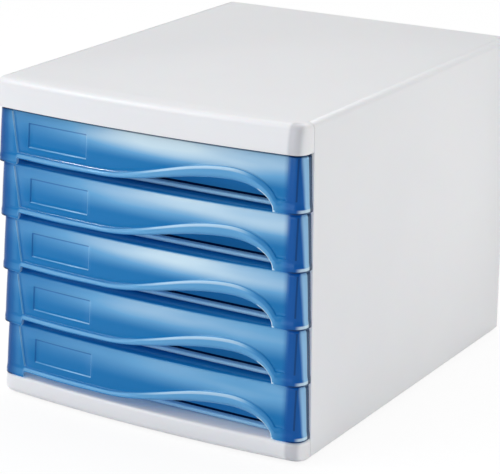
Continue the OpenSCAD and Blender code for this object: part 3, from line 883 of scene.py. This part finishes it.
@dataclass(frozen=True)
class Housing:
    """The white mouldings: cover, plinth, two side panels and the back panel."""

    line: BowedLine = field(default_factory=BowedLine)
    height: float = 250
    wall: float = 2.5
    cap_foot: float = 229
    plinth_top: float = 17
    sole: float = 1
    edge_radius: float = 5
    sole_radius: float = 3
    front_roll: float = 6
    plinth_roll: float = 2.3
    corner_radius: float = 10
    fascia_lean: float = 2.5
    belly: float = 1.2
    brow: float = 2.6
    mouth_y: float = -145.5
    back_y: float = 167.5
    seam: float = 0.3
    ledge_width: float = 8
    rib_depth: float = 4.8
    floor_rib: float = 2
    floor_rib_drop: float = 8
    floor_rib_reach: float = 15
    foot_inset: float = 25
    socket_radius: float = 10
    socket_rim: float = 1.8
    socket_depth: float = 1.5
    levels: int = 5
    pitch: float = 42.4
    runner_start: float = -143.5
    runner_end: float = 150
    runner_z: Flat = (33.7, 35.7)
    keeper_z: Flat = (40.4, 41.8)
    stop_z: Flat = (38.4, 40.9)
    stop_length: float = 5
    body: str = "housing"

    @property
    def half(self) -> float:
        """Half of the width."""
        return self.line.half_width

    @property
    def inner_x(self) -> float:
        """X of a side panel's inner face."""
        return self.half - self.wall

    @property
    def inner_back(self) -> float:
        """Y where the ledges and the base end, in front of the back panel."""
        return self.back_y - self.wall - self.seam

    def _front_skin(self, name: str, rings: Sequence[Point]) -> Workpiece:
        """Stacks bowed outlines into a skin; rings are (z, front inset, side inset)."""
        rear = self.mouth_y - self.seam
        rows = []
        for z, front, side in rings:
            flat = self.line.outline(front, side, self.corner_radius - side, rear)
            rows.append([(x, y, z) for x, y in flat])
        return Workpiece.skin(name, rows)

    def _plate(self, piece: Workpiece, top: float, half: float, rear: float) -> None:
        """Closes a front skin at its top and runs a plate back from it."""
        line_y = self.mouth_y - self.seam
        piece.cap_top(top)
        for side in Side:
            piece.cut_level((side.value * half, 0, 0), (1, 0, 0))

        def rear_edge(at: Vector, way: Vector) -> bool:
            """Whether an edge is the cap's rear end between the two cuts."""
            crosswise = abs(way.x) > 0.99 and abs(at.x) < half
            return crosswise and at.z > top - NEAR and at.y > line_y - NEAR

        piece.pull_edges(rear_edge, (0, rear - line_y, 0))

    def cover(self) -> Workpiece:
        """Builds the top cover: a leaning fascia, a rolled edge and the flat top."""
        straight = self.height - self.edge_radius
        shares = [i / 8 for i in range(9)]
        rings = [(blend(self.cap_foot, straight, at), self.fascia_lean * at ** 2, 0) for at in shares]
        for out, rise in arc(self.edge_radius, 0, QUARTER, 10)[1:]:
            roll = self.edge_radius - out
            rings.append((straight + rise, self.fascia_lean + roll, roll))
        piece = self._front_skin("top_cover_shell", rings)
        self._plate(piece, self.height, self.half - self.edge_radius - self.seam, self.back_y)
        piece.thicken(self.wall)
        piece.round_edges(0.3, 2, every, CREASE)
        piece.smooth()
        return piece

    def _plinth_rings(self) -> list[Point]:
        """Rings of the plinth's band, from its deep lower roll over its belly to its top."""
        reach = self.front_roll

        def face(z: float) -> float:
            """How far the band's face lies back from its belly at height z."""
            return self.belly * (2 * (z - self.sole) / (self.plinth_top - self.sole) - 1) ** 2

        rings = []
        for out, rise in arc(reach, 0, QUARTER, 12):
            z = self.sole + reach - out
            left = max(0.0, 1 - (z - self.sole) / self.sole_radius)
            side = self.sole_radius * (1 - math.sqrt(1 - left * left))
            rings.append((z, reach - rise + face(z), side))
        levels = [blend(self.sole + reach, self.plinth_top - self.brow, i / 4) for i in range(1, 5)]
        return rings + [(z, face(z), 0) for z in levels + [self.plinth_top]]

    def plinth(self) -> Workpiece:
        """Builds the base: the bowed front band, its floor, skirts, ribs and foot sockets."""
        piece = self._front_skin("base_plinth_shell", self._plinth_rings())
        half = self.inner_x - self.seam
        self._plate(piece, self.plinth_top, half, self.inner_back)
        piece.thicken(self.wall)
        piece.round_edges(self.plinth_roll, 5, self._on_brow, CREASE)
        piece.round_edges(0.25, 2, every, CREASE)
        floor = self.plinth_top - self.wall
        foot, low, top = self.sole + self.sole_radius + self.seam, floor - self.floor_rib_drop, floor + BITE
        rear, width = self.inner_back, self.floor_rib
        parts = []
        for side in Side:
            inner, outer = sorted((side.value * half, side.value * (half - self.wall)))
            x = side.value * self.half / 3
            parts.append(Workpiece.block("skirt", (inner, self.mouth_y, foot), (outer, rear, top)))
            parts.append(Workpiece.block("rib", (x - width / 2, self.mouth_y - self.floor_rib_reach, low),
                                         (x + width / 2, rear, top)))
        parts.append(Workpiece.block("rear_skirt", (-half, rear - self.wall, foot), (half, rear, top)))
        for i in (1, 2, 3):
            y = blend(self.mouth_y, rear, i / 4)
            parts.append(Workpiece.block("rib", (-half, y, low), (half, y + width, top)))
        parts += [self._socket(x, y, floor) for x, y in self.foot_places()]
        piece.join(parts)
        piece.smooth()
        return piece

    def _on_brow(self, at: Vector, way: Vector) -> bool:
        """Whether an edge lies on the plinth's top front edge."""
        return at.z > self.plinth_top - NEAR and at.y < self.mouth_y - 1

    def _socket(self, x: float, y: float, floor: float) -> Workpiece:
        """One round boss under the floor, with the pocket that holds a foot."""
        boss = Workpiece.drum("socket", (x, y, self.sole), self.socket_radius, floor - self.sole + BITE)
        boss.sink(lambda at, normal: normal.z < -0.9, self.socket_rim, -self.socket_depth)

        def mouth(at: Vector, way: Vector) -> bool:
            """Whether an edge lies on the boss's outer rim."""
            return abs(at.z - self.sole) < NEAR and math.hypot(at.x - x, at.y - y) > self.socket_radius - 1

        boss.round_edges(0.4, 2, mouth)
        return boss

    def foot_places(self) -> list[Flat]:
        """Centres of the feet: front left, front right, rear left, rear right."""
        x = self.half - self.foot_inset
        rows = (self.mouth_y + self.foot_inset, self.back_y - self.foot_inset)
        return [(side.value * x, y) for y in rows for side in Side]

    def side_panel(self) -> Workpiece:
        """Builds the right side panel with its rolled edges, ledges, runners and stops."""
        top = self.height - self.edge_radius
        low = self.sole + self.sole_radius
        sole_x, edge_x = self.half - self.sole_radius, self.half - self.edge_radius
        section = [(sole_x + x, low + z) for x, z in arc(self.sole_radius, -QUARTER, 0, 8)]
        section += [(edge_x + x, top + z) for x, z in arc(self.edge_radius, 0, QUARTER, 12)]
        section += [(edge_x, top), (self.inner_x, top - NEAR), (self.inner_x, low), (sole_x, low - NEAR)]
        panel = Workpiece.profile("side_panel", section, self.mouth_y, self.back_y - self.mouth_y)
        panel.round_edges(0.3, 2, lambda at, way: abs(way.y) < 0.5)
        rib_x, wall_x, rear = self.inner_x - self.rib_depth, self.inner_x + BITE, self.inner_back
        ledge_x, ledge_z = self.inner_x - self.ledge_width, self.height - 2 * self.wall - self.seam
        parts = [
            Workpiece.block("ledge", (ledge_x, self.mouth_y, ledge_z), (wall_x, rear, ledge_z + self.wall)),
            Workpiece.block("ledge", (ledge_x, self.mouth_y, self.sole), (sole_x + 0.2, rear, low)),
            Workpiece.block("rear_rib", (rib_x, rear - self.wall, self.plinth_top + self.seam),
                            (wall_x, rear, self.cap_foot + self.seam)),
        ]
        for level in range(self.levels):
            base = self.plinth_top + level * self.pitch
            for name, heights, end in (
                ("runner", self.runner_z, self.runner_end),
                ("keeper", self.keeper_z, self.runner_end),
                ("stop", self.stop_z, self.runner_start + self.stop_length),
            ):
                parts.append(Workpiece.block(name, (rib_x, self.runner_start, base + heights[0]),
                                             (wall_x, end, base + heights[1])))
        panel.join(parts)
        panel.smooth()
        return panel

    def back_panel(self) -> Workpiece:
        """Builds the back panel with its shoulders under the rolled edges."""
        half = self.inner_x - self.seam
        neck = self.half - self.edge_radius - self.seam
        shoulder = self.height - self.edge_radius - self.seam
        top = self.height - self.wall - self.seam
        foot = self.sole + self.sole_radius + self.seam
        section = [(-half, foot), (half, foot), (half, shoulder), (neck, shoulder),
                   (neck, top), (-neck, top), (-neck, shoulder), (-half, shoulder)]
        panel = Workpiece.profile("back_panel_sheet", section, self.back_y - self.wall, self.wall)
        panel.round_edges(0.35, 2, every)
        panel.smooth()
        return panel

    def build(self, material: Material) -> None:
        """Models, dresses and places all five mouldings."""
        right = self.side_panel()
        left = right.mirrored("left_side_moulding")
        right.obj.name = "right_side_moulding"
        for piece, node in (
            (self.cover(), "top_cover"),
            (self.plinth(), "base_plinth"),
            (left, "left_side_panel"),
            (right, "right_side_panel"),
            (self.back_panel(), "back_panel"),
        ):
            piece.hand_over(node, self.body, Slot.HOUSING, material)


@dataclass(frozen=True)
class RubberFeet:
    """Four round feet with a chamfered sole and a shallow grip ring."""

    radius: float = 8
    height: float = 2.5
    chamfer: float = 0.5
    ring: float = 2.2
    groove_width: float = 0.8
    groove: float = 0.25
    corners: tuple[str, ...] = ("front_left", "front_right", "rear_left", "rear_right")

    def build(self, housing: Housing, material: Material) -> None:
        """Models one foot and copies it to the four sockets."""
        foot = Workpiece.drum("foot", (0, 0, 0), self.radius, self.height)
        foot.round_edges(self.chamfer, 3, lambda at, way: at.z < NEAR)
        with foot.editing():
            foot.pick_faces(lambda at, normal: normal.z < -0.9 and math.hypot(at.x, at.y) < 1)
            width = self.groove_width
            for rim, depth in ((self.ring, 0), (width, -self.groove), (width, self.groove)):
                bpy.ops.mesh.inset(thickness=rim * MM, depth=depth * MM)
        foot.smooth()
        for corner, (x, y) in zip(self.corners, housing.foot_places()):
            pad = foot.copy(f"foot_{corner}_pad", (x, y, 0))
            pad.hand_over(f"foot_{corner}", housing.body, Slot.FOOT, material)
        foot.scrap()


# ------------------------------------------------------------------- drawers


@dataclass(frozen=True)
class Station:
    """One column of a front's face: its foot on the cut edge, its rim point and its top.

    bead is how far the rolled rim stands out here, and arch blends it from a flared hem, 0, to
    the round bead of the finger arch, 1.
    """

    foot: Flat
    rim: Flat
    top_x: float
    bead: float
    arch: float = 1


@dataclass(frozen=True)
class DrawerFront:
    """The wave-cut front shell of one drawer, measured from its own foot."""

    line: BowedLine = field(default_factory=BowedLine)
    height: float = 41.6
    rear_y: float = -146.05
    wall: float = 2.4
    corner_radius: float = 9
    setback: float = 1
    lean: float = 3.5
    side_setback: float = 0.55
    side_lean: float = 1.1
    corner_flare: float = 0.45
    ledge_radius: float = 2.5
    face_half: float = 121.5
    panel_left: float = -108.1
    panel_right: float = 119.3
    panel_recess: float = 0.8
    panel_splay: float = 8.8
    splay_zone: float = 5
    slope: float = 0.55
    panel_foot: float = 9.2
    groove_width: float = 1.8
    groove_depth: float = 0.4
    leg_edge: float = 112
    leg_blend: float = 3.5
    leg_bead: float = 0.4
    skirt_rise: float = 5.2
    skirt_crest: float = -0.5
    arch_rise: float = 18.3
    rim_rise: float = 27.2
    wave_start: float = -34
    arch_peak: float = 75
    arch_fall: float = 34.4
    rim_fall: float = 39.6
    arch_fullness: float = 2.05
    fan_steps: int = 22
    rim_shares: tuple[float, ...] = (0, 0.08, 0.16, 0.25, 0.36, 0.48, 0.6, 0.71, 0.81, 0.9, 0.96, 1)
    bead_bulge: float = 1.25
    lining_bulge: float = 0.75
    rim_tuck: float = 0.35
    hem_groove: float = 0.35
    label_left: float = -100
    label_right: float = -47
    label_foot: float = 15.2
    label_height: float = 16.8
    label_recess: float = 0.85
    label_slope: float = 0.9

    @property
    def face_top(self) -> float:
        """Height where the face ends and the rolled top edge begins."""
        return self.height - self.ledge_radius

    # -- lines on the face

    def _climb(self, x: float) -> float:
        """Share of the way from the wave's start to the arch's peak."""
        return (x - self.wave_start) / (self.arch_peak - self.wave_start)

    def _off_leg(self, x: float) -> float:
        """0 on the left leg, easing to 1 beside it."""
        return ease((x + self.leg_edge) / self.leg_blend)

    def cut(self, x: float) -> float:
        """Height of the cut edge at x, left of the arch's peak."""
        if x <= -self.leg_edge:
            return 0.0
        if x < self.wave_start:
            share = (x + self.leg_edge) / (self.wave_start + self.leg_edge)
            skirt = self.skirt_rise + self.skirt_crest * math.sin(math.pi * share) ** 2
            return skirt * self._off_leg(x)
        return blend(self.skirt_rise, self.arch_rise, ease(self._climb(x)))

    def rim(self, x: float) -> float:
        """Height of the panel's lower edge at x, left of the arch's peak."""
        return blend(self.panel_foot, self.rim_rise, ease(self._climb(x)))

    def stations(self) -> list[Station]:
        """All columns of the face from left to right."""
        quarters = [i / 4 for i in range(5)]
        marks = {-120.5, -118.5, -116.3, -self.leg_edge}
        marks |= {self.panel_left - self.slope * share for share in quarters}
        marks |= {self.panel_left + self.groove_width * share for share in quarters[1:]}
        marks |= {-self.leg_edge + self.leg_blend * i / 6 for i in range(1, 7)}
        marks |= {self.label_left - self.label_slope * share for share in quarters}
        marks |= {self.label_right + self.label_slope * share for share in quarters}
        marks |= {self.label_left + 4 + i * 5.2 for i in range(0, 9)}
        marks |= {blend(self.label_right + 4, self.arch_peak, i / 40) for i in range(0, 41)}
        found = []
        for x in sorted(marks):
            bead, arch = blend(self.leg_bead, 1, self._off_leg(x)), ease(self._climb(x) * 1.6)
            found.append(Station((x, self.cut(x)), (x, self.rim(x)), x, bead, arch))
        return found + self._fan() + self._right_leg(quarters)

    def _fan(self) -> list[Station]:
        """Columns fanned round the arch's steep end, where its bead grows a little weaker."""
        power = 2 / self.arch_fullness
        found = []
        for i in range(1, self.fan_steps + 1):
            turn = QUARTER * i / self.fan_steps
            foot = (self.arch_peak + self.arch_fall * math.sin(turn) ** power,
                    self.arch_rise * max(0.0, math.cos(turn)) ** power)
            rim_x = self.arch_peak + self.rim_fall * math.sin(turn)
            rim_z = max(self.panel_foot, self.rim_rise * math.cos(turn))
            bead = 1 - 0.25 * ease((turn - 1.2) / 0.37)
            found.append(Station(foot, (rim_x, rim_z), rim_x, bead))
        return found

    def _right_leg(self, quarters: Sequence[float]) -> list[Station]:
        """Columns of the right leg, where the bead fades out."""
        foot_x, last_x = self.arch_peak + self.arch_fall, self.arch_peak + self.rim_fall
        edges = [self.panel_right + self.slope * share for share in quarters]
        found = []
        for rim_x in [115.4, 116.4, 117.5, 118.5] + edges + [120.6]:
            share = (rim_x - last_x) / (self.face_half - last_x)
            foot = (blend(foot_x, self.face_half, share), 0)
            fade = 1 - ease(share / 0.5)
            bead = blend(self.leg_bead, 0.75, fade)
            found.append(Station(foot, (rim_x, self.panel_foot), rim_x, bead, fade))
        return found

    # -- the skins

    def _insets(self, z: float) -> Flat:
        """Insets of the plain leaning face at height z, as front and side."""
        share = z / self.height
        curve = 0.7 * share + 0.3 * share * share
        return self.setback + self.lean * curve, self.side_setback + self.side_lean * share

    def _splayed(self, x: float, z: float) -> float:
        """X of a column near the panel's left edge, which leans outwards with height."""
        rise = (self.panel_left - x + self.splay_zone) / self.splay_zone
        fall = (self.face_half + x) / (self.face_half + self.panel_left - self.slope)
        share = max(0.0, min(1.0, rise, fall))
        return x - share * self.panel_splay * z / self.height

    @staticmethod
    def _dip(x: float, left: float, right: float, slope: float) -> float:
        """1 between left and right, 0 outside them, with a slope at both sides."""
        return 1 - ease(max(left - x, x - right) / slope)

    def _panel_dip(self, x: float) -> float:
        """Depth of the sunk panel at x."""
        return self.panel_recess * self._dip(x, self.panel_left, self.panel_right, self.slope)

    def _row(self, columns: Sequence[Station], spot: Callable[[Station], Point], side_z: float, inset: float,
             flare: float = 0) -> list[Point]:
        """One row of a skin, from the left return round to the right one.

        Args:
            columns: the face's columns.
            spot: gives x, z and relief of this row at a column.
            side_z: height of the row at the corners and returns.
            inset: how far the row lies inside the plain leaning face.
            flare: how far the corners and returns stand out in this row.

        Returns:
            The row's points.
        """
        front, side = self._insets(side_z)
        depth = inset - flare
        turn = self.line.corner(front + depth, side + depth, self.corner_radius - depth)
        x, y = turn[-1]
        side_row = turn + [(x, blend(y, self.rear_y, 0.5)), (x, self.rear_y)]
        points = [(-x, y, side_z) for x, y in reversed(side_row)]
        for column in columns:
            x, z, relief = spot(column)
            x = self._splayed(x, z)
            points.append((x, self.line.y(x, self._insets(z)[0] + inset + relief), z))
        return points + [(x, y, side_z) for x, y in side_row]

    def _rim_rows(self, columns: Sequence[Station], wall: float) -> list[list[Point]]:
        """Rows of the rolled rim, from the cut edge up to the panel; wall is 0 for the outer skin."""
        rows = []
        bulge = self.lining_bulge if wall else self.bead_bulge
        for share in self.rim_shares:
            bead = math.sin(math.pi * share) ** 0.85
            hem = ease((0.8 - share) / 0.5) * (1 - 0.25 * max(0.0, 1 - share / 0.2) ** 2)
            tuck = 0 if wall else self.rim_tuck * (1 - ease(share / 0.25))
            groove = 0 if wall else self.hem_groove * math.sin(math.pi * max(0.0, share - 0.78) / 0.22)

            def spot(column: Station) -> Point:
                """X, z and relief of this row at a column."""
                x = blend(column.foot[0], column.rim[0], share)
                z = blend(column.foot[1], column.rim[1], share)
                relief = column.arch * tuck + (1 - column.arch) * groove
                return x, z, column.bead * (relief - bulge * blend(hem, bead, column.arch))

            rows.append(self._row(columns, spot, share * self.panel_foot, wall, self.corner_flare * hem))
        return rows

    def _panel_marks(self) -> list[Point]:
        """Rows of the panel, as height, share of its recess and share of the label's recess."""
        top = self.label_foot + self.label_height
        steps = [(i / 4, ease(i / 4)) for i in range(5)]
        marks = [(self.panel_foot + self.slope * at, sunk, 0.0) for at, sunk in steps[1:]]
        marks.append((self.panel_foot + self.slope + 2, 1, 0))
        marks += [(self.label_foot - self.label_slope * (1 - at), 1, deep) for at, deep in steps]
        marks += [(self.label_foot + rise, 1, 1) for rise in (3, 6.5, 10, 13.5, 16)]
        marks += [(top + self.label_slope * at, 1, 1 - deep) for at, deep in steps]
        return marks + [(self.face_top - drop, 1, 0) for drop in (2.2, 0.8, 0)]

    def _panel_rows(self, columns: Sequence[Station], wall: float) -> list[list[Point]]:
        """Rows of the sunk panel and its label field, up to the rolled top edge."""
        low = self.panel_foot + self.slope
        rows = []
        for mark, sunk, labelled in self._panel_marks():

            def spot(column: Station) -> Point:
                """X, z and relief of this row at a column."""
                rim_x, rim_z = column.rim
                z = rim_z + mark - self.panel_foot
                if mark > low:
                    z = blend(rim_z + self.slope, self.face_top, (mark - low) / (self.face_top - low))
                x = blend(rim_x, column.top_x, (mark - self.panel_foot) / (self.face_top - self.panel_foot))
                dip = sunk * self._panel_dip(rim_x)
                groove = (rim_x - self.panel_left) / self.groove_width
                if sunk == 1 and not wall and 0 < groove < 1:
                    dip += self.groove_depth * math.sin(math.pi * groove)
                label = self._dip(rim_x, self.label_left, self.label_right, self.label_slope)
                return x, z, dip + (0 if wall else self.label_recess * labelled * label)

            rows.append(self._row(columns, spot, mark, wall))
        return rows

    def _edge_rows(self, columns: Sequence[Station], wall: float) -> list[list[Point]]:
        """Rows of the rolled edge between the face and the top ledge."""
        radius = max(0.3, self.ledge_radius - wall)
        drop = wall - self.ledge_radius + radius if wall else 0
        rows = []
        for turn in (12, 24, 36, 48, 60, 75, 90):
            z = self.face_top + radius * math.sin(math.radians(turn)) - drop
            roll = radius * (1 - math.cos(math.radians(turn)))

            def spot(column: Station) -> Point:
                """X, z and relief of this row at a column."""
                return column.top_x, z, (1 - ease(turn / 48)) * self._panel_dip(column.rim[0])

            rows.append(self._row(columns, spot, z, wall + roll))
        return rows

    def _skin(self, name: str, wall: float) -> Workpiece:
        """Lays one skin of the shell and closes its top ledge."""
        columns = self.stations()
        rows = self._rim_rows(columns, wall)
        rows += self._panel_rows(columns, wall)
        rows += self._edge_rows(columns, wall)
        piece = Workpiece.skin(name, rows)
        piece.cap_top(rows[-1][0][2])
        return piece

    def shell(self) -> Workpiece:
        """Models the front shell at the foot of its own drawer."""
        piece = self._skin("drawer_front", 0)
        piece.bridge_lining(self._skin("lining", self.wall))
        piece.round_edges(0.4, 2, every, CREASE)
        piece.smooth(40)
        return piece


@dataclass(frozen=True)
class DrawerTray:
    """The tray behind a front: floor, walls, sliding flanges, lip, tongues and nibs."""

    half: float = 125.1
    flange_half: float = 129.9
    front_y: float = -146
    rear_y: float = 160
    floor_z: float = 0.8
    rim_z: float = 38
    flange_z: float = 36
    wall: float = 2
    corner_radius: float = 6
    foot_radius: float = 1.4
    front_top: float = 41.4
    lip_height: float = 3
    lip_projection: float = 5
    lip_half: float = 119.1
    lip_radius: float = 1.45
    tongue_x: float = 66.5
    tongue_width: float = 24
    tongue_depth: float = 7
    tongue_z: float = 37.2
    nib_y: float = 111.8
    nib_length: float = 6
    nib_height: float = 1.6
    nib_gap: float = 0.6

    def shell(self) -> Workpiece:
        """Models the tray at the foot of its own drawer."""
        tub = self._tub()
        front = Workpiece.block("front_wall", (-self.flange_half, self.front_y, self.floor_z),
                                (self.flange_half, self.front_y + self.wall, self.front_top), 0.35)
        parts = [front, self._lip()]
        for side in Side:
            left = side.value * self.tongue_x - self.tongue_width / 2
            parts.append(Workpiece.block(
                "tongue", (left, self.front_y - self.tongue_depth, self.tongue_z),
                (left + self.tongue_width, self.front_y + BITE, self.tongue_z + self.wall),
            ))
            low, high = sorted((side.value * (self.half + self.nib_gap), side.value * self.flange_half))
            parts.append(Workpiece.block(
                "nib", (low, self.nib_y, self.rim_z - BITE),
                (high, self.nib_y + self.nib_length, self.rim_z + self.nib_height),
            ))
        tub.join(parts)
        tub.smooth(40)
        return tub

    def _tub(self) -> Workpiece:
        """The open box with its rounded rear corners and the flanges that it hangs by."""
        tub = Workpiece.block("drawer_tray", (-self.half, self.front_y, self.floor_z),
                              (self.half, self.rear_y, self.rim_z), 0)
        tub.round_edges(self.corner_radius, 8, lambda at, way: abs(way.z) > 0.9 and at.y > 0)
        tub.round_edges(self.foot_radius, 3, self._on_foot)
        tub.sink(lambda at, normal: normal.z > 0.9, self.wall, self.rim_z - self.floor_z - self.wall)
        wall_end = self.front_y + self.wall
        for point, normal in (
            ((0, 0, self.flange_z), (0, 0, 1)),
            ((0, wall_end, 0), (0, 1, 0)),
            ((0, self.rear_y - self.corner_radius, 0), (0, 1, 0)),
        ):
            tub.cut_level(point, normal)
        for side in Side:

            def flank(at: Vector, normal: Vector) -> bool:
                """Whether a face is the top of this outer wall."""
                outer = normal.x * side.value > 0.99 and abs(at.x) > self.half - 0.1
                return outer and at.z > self.flange_z and at.y > wall_end

            tub.pull_faces(flank, (side.value * (self.flange_half - self.half), 0, 0))
        tub.soften(0.3, 2)
        return tub

    def _on_foot(self, at: Vector, way: Vector) -> bool:
        """Whether an edge lies at the tub's foot, and not on its front."""
        return at.z < self.floor_z + NEAR and abs(at.y - self.front_y) > NEAR

    def _lip(self) -> Workpiece:
        """The rounded lip along the foot of the front wall."""
        lip = Workpiece.block("lip", (-self.lip_half, self.front_y - self.lip_projection, self.floor_z),
                              (self.lip_half, self.front_y + BITE, self.floor_z + self.lip_height), 0)
        lip.round_edges(self.lip_radius, 6, lambda at, way: abs(way.x) > 0.9 and at.y < self.front_y - 1)
        return lip


@dataclass(frozen=True)
class DrawerStack:
    """The five drawers, each a front shell and its tray; drawer 1 is the top one."""

    count: int = 5
    foot: float = 17
    pitch: float = 42.4

    def build(self, front_finish: Material, tray_finish: Material) -> None:
        """Models one front and one tray, and copies them to every level."""
        front, tray = DrawerFront().shell(), DrawerTray().shell()
        for number in range(1, self.count + 1):
            lift = (0, 0, self.foot + (self.count - number) * self.pitch)
            body = f"drawer_{number}"
            face = front.copy(f"wave_front_{number}", lift)
            face.hand_over(f"drawer_front_{number}", body, Slot.FRONT, front_finish)
            tub = tray.copy(f"sliding_tray_{number}", lift)
            tub.hand_over(f"drawer_tray_{number}", body, Slot.TRAY, tray_finish)
        front.scrap()
        tray.scrap()


# -------------------------------------------------------------------- studio


@dataclass(frozen=True)
class Studio:
    """A pale floor, a white world, soft boxes and the camera."""

    aim: Point = (0, 0, 125)
    camera_at: Point = (809.5, -1336.1, 615.4)
    azimuth: float = 31.44
    elevation: float = 18.10
    roll: float = 0.24
    focal_px: float = 2082.9
    frame_px: float = 500
    sensor: float = 36
    ambient: float = 0.53
    floor_size: float = 14000
    floor_glow: float = 1.03
    floor_share: float = 0.85

    def floor(self) -> None:
        """Lays a large pale floor under the feet, brighter to the camera than to the part."""
        Workpiece.clear_bench()
        bpy.ops.mesh.primitive_plane_add(size=self.floor_size * MM, location=(0, 0, 0))
        floor = Workpiece("studio_floor")
        sheet = NodeSheet("studio_floor")
        paint = sheet.add("BsdfDiffuse", {"Color": (0.9, 0.9, 0.9, 1)})
        paper = sheet.add("Emission", {"Color": (1, 1, 1, 1), "Strength": self.floor_glow})
        share = sheet.times(sheet.add("LightPath").outputs["Is Camera Ray"], self.floor_share)
        both = sheet.add("MixShader", {0: share, 1: paint.outputs[0], 2: paper.outputs[0]})
        floor.obj.data.materials.append(sheet.finish(both))

    def world(self) -> None:
        """Sets a white world that is plainer where it lights than where it shows."""
        world = bpy.data.worlds.new("studio_world")
        bpy.context.scene.world = world
        world.use_nodes = True
        tree = world.node_tree
        tree.nodes.clear()
        rays = tree.nodes.new("ShaderNodeLightPath")
        level = tree.nodes.new("ShaderNodeMapRange")
        level.inputs["To Min"].default_value = self.ambient
        level.inputs["To Max"].default_value = 1.0
        tree.links.new(rays.outputs["Is Camera Ray"], level.inputs["Value"])
        glow = tree.nodes.new("ShaderNodeBackground")
        tree.links.new(level.outputs["Result"], glow.inputs["Strength"])
        output = tree.nodes.new("ShaderNodeOutputWorld")
        tree.links.new(glow.outputs[0], output.inputs["Surface"])

    def soft_box(self, name: str, at: Point, size: float, level: float, tint: Point = (1, 1, 1)) -> None:
        """Hangs a square lamp that lights a face turned to it at a given level.

        Args:
            name: the lamp's name.
            at: its place in mm.
            size: its side in mm.
            level: light level on a face at the aim, where 1 renders a white face white.
            tint: the lamp's colour.
        """
        place, target = Vector(at) * MM, Vector(self.aim) * MM
        lamp = bpy.data.lights.new(name, "AREA")
        lamp.size = size * MM
        lamp.color = tint
        lamp.energy = level * math.pi ** 2 * (place - target).length_squared
        obj = bpy.data.objects.new(name, lamp)
        bpy.context.scene.collection.objects.link(obj)
        obj.location = place
        obj.rotation_euler = (target - place).to_track_quat("-Z", "Y").to_euler()

    def camera(self) -> None:
        """Sets the camera at the photograph's viewing angle."""
        data = bpy.data.cameras.new("studio_camera")
        data.sensor_width = self.sensor
        data.lens = self.focal_px / self.frame_px * self.sensor
        data.clip_start, data.clip_end = 0.05, 30
        obj = bpy.data.objects.new("studio_camera", data)
        bpy.context.scene.collection.objects.link(obj)
        turn, tip = math.radians(self.azimuth), math.radians(self.elevation)
        back = Vector((math.sin(turn) * math.cos(tip), -math.cos(turn) * math.cos(tip), math.sin(tip)))
        spin = Matrix.Rotation(math.radians(self.roll), 3, back)
        facing = (-back).to_track_quat("-Z", "Y").to_matrix()
        obj.rotation_euler = (spin @ facing).to_euler()
        obj.location = Vector(self.camera_at) * MM
        bpy.context.scene.camera = obj

    def build(self) -> None:
        """Sets up the whole studio."""
        bpy.context.scene.view_settings.view_transform = "Standard"
        self.floor()
        self.world()
        self.soft_box("key_box", (-1600, -1950, 1950), 1500, 0.27, (0.95, 0.96, 1))
        self.soft_box("glint_box", (-1500, -850, 2150), 450, 0.16)
        self.soft_box("fill_box", (-300, -2600, 300), 1300, 0.16, (0.9, 0.93, 1))
        self.soft_box("side_box", (2500, 650, 500), 1300, 0.29)
        self.soft_box("top_box", (-100, 900, 2500), 1700, 0.39)
        self.camera()


def main() -> None:
    """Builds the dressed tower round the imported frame."""
    logging.basicConfig(level=logging.INFO, format="%(name)s: %(message)s")
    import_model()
    housing = Housing()
    housing.build(HousingPlastic().make())
    RubberFeet().build(housing, FootRubber().make())
    DrawerStack().build(FrontPlastic("front_plastic").make(), TrayPlastic("tray_plastic").make())
    Studio().build()


if __name__ == "__main__":
    main()
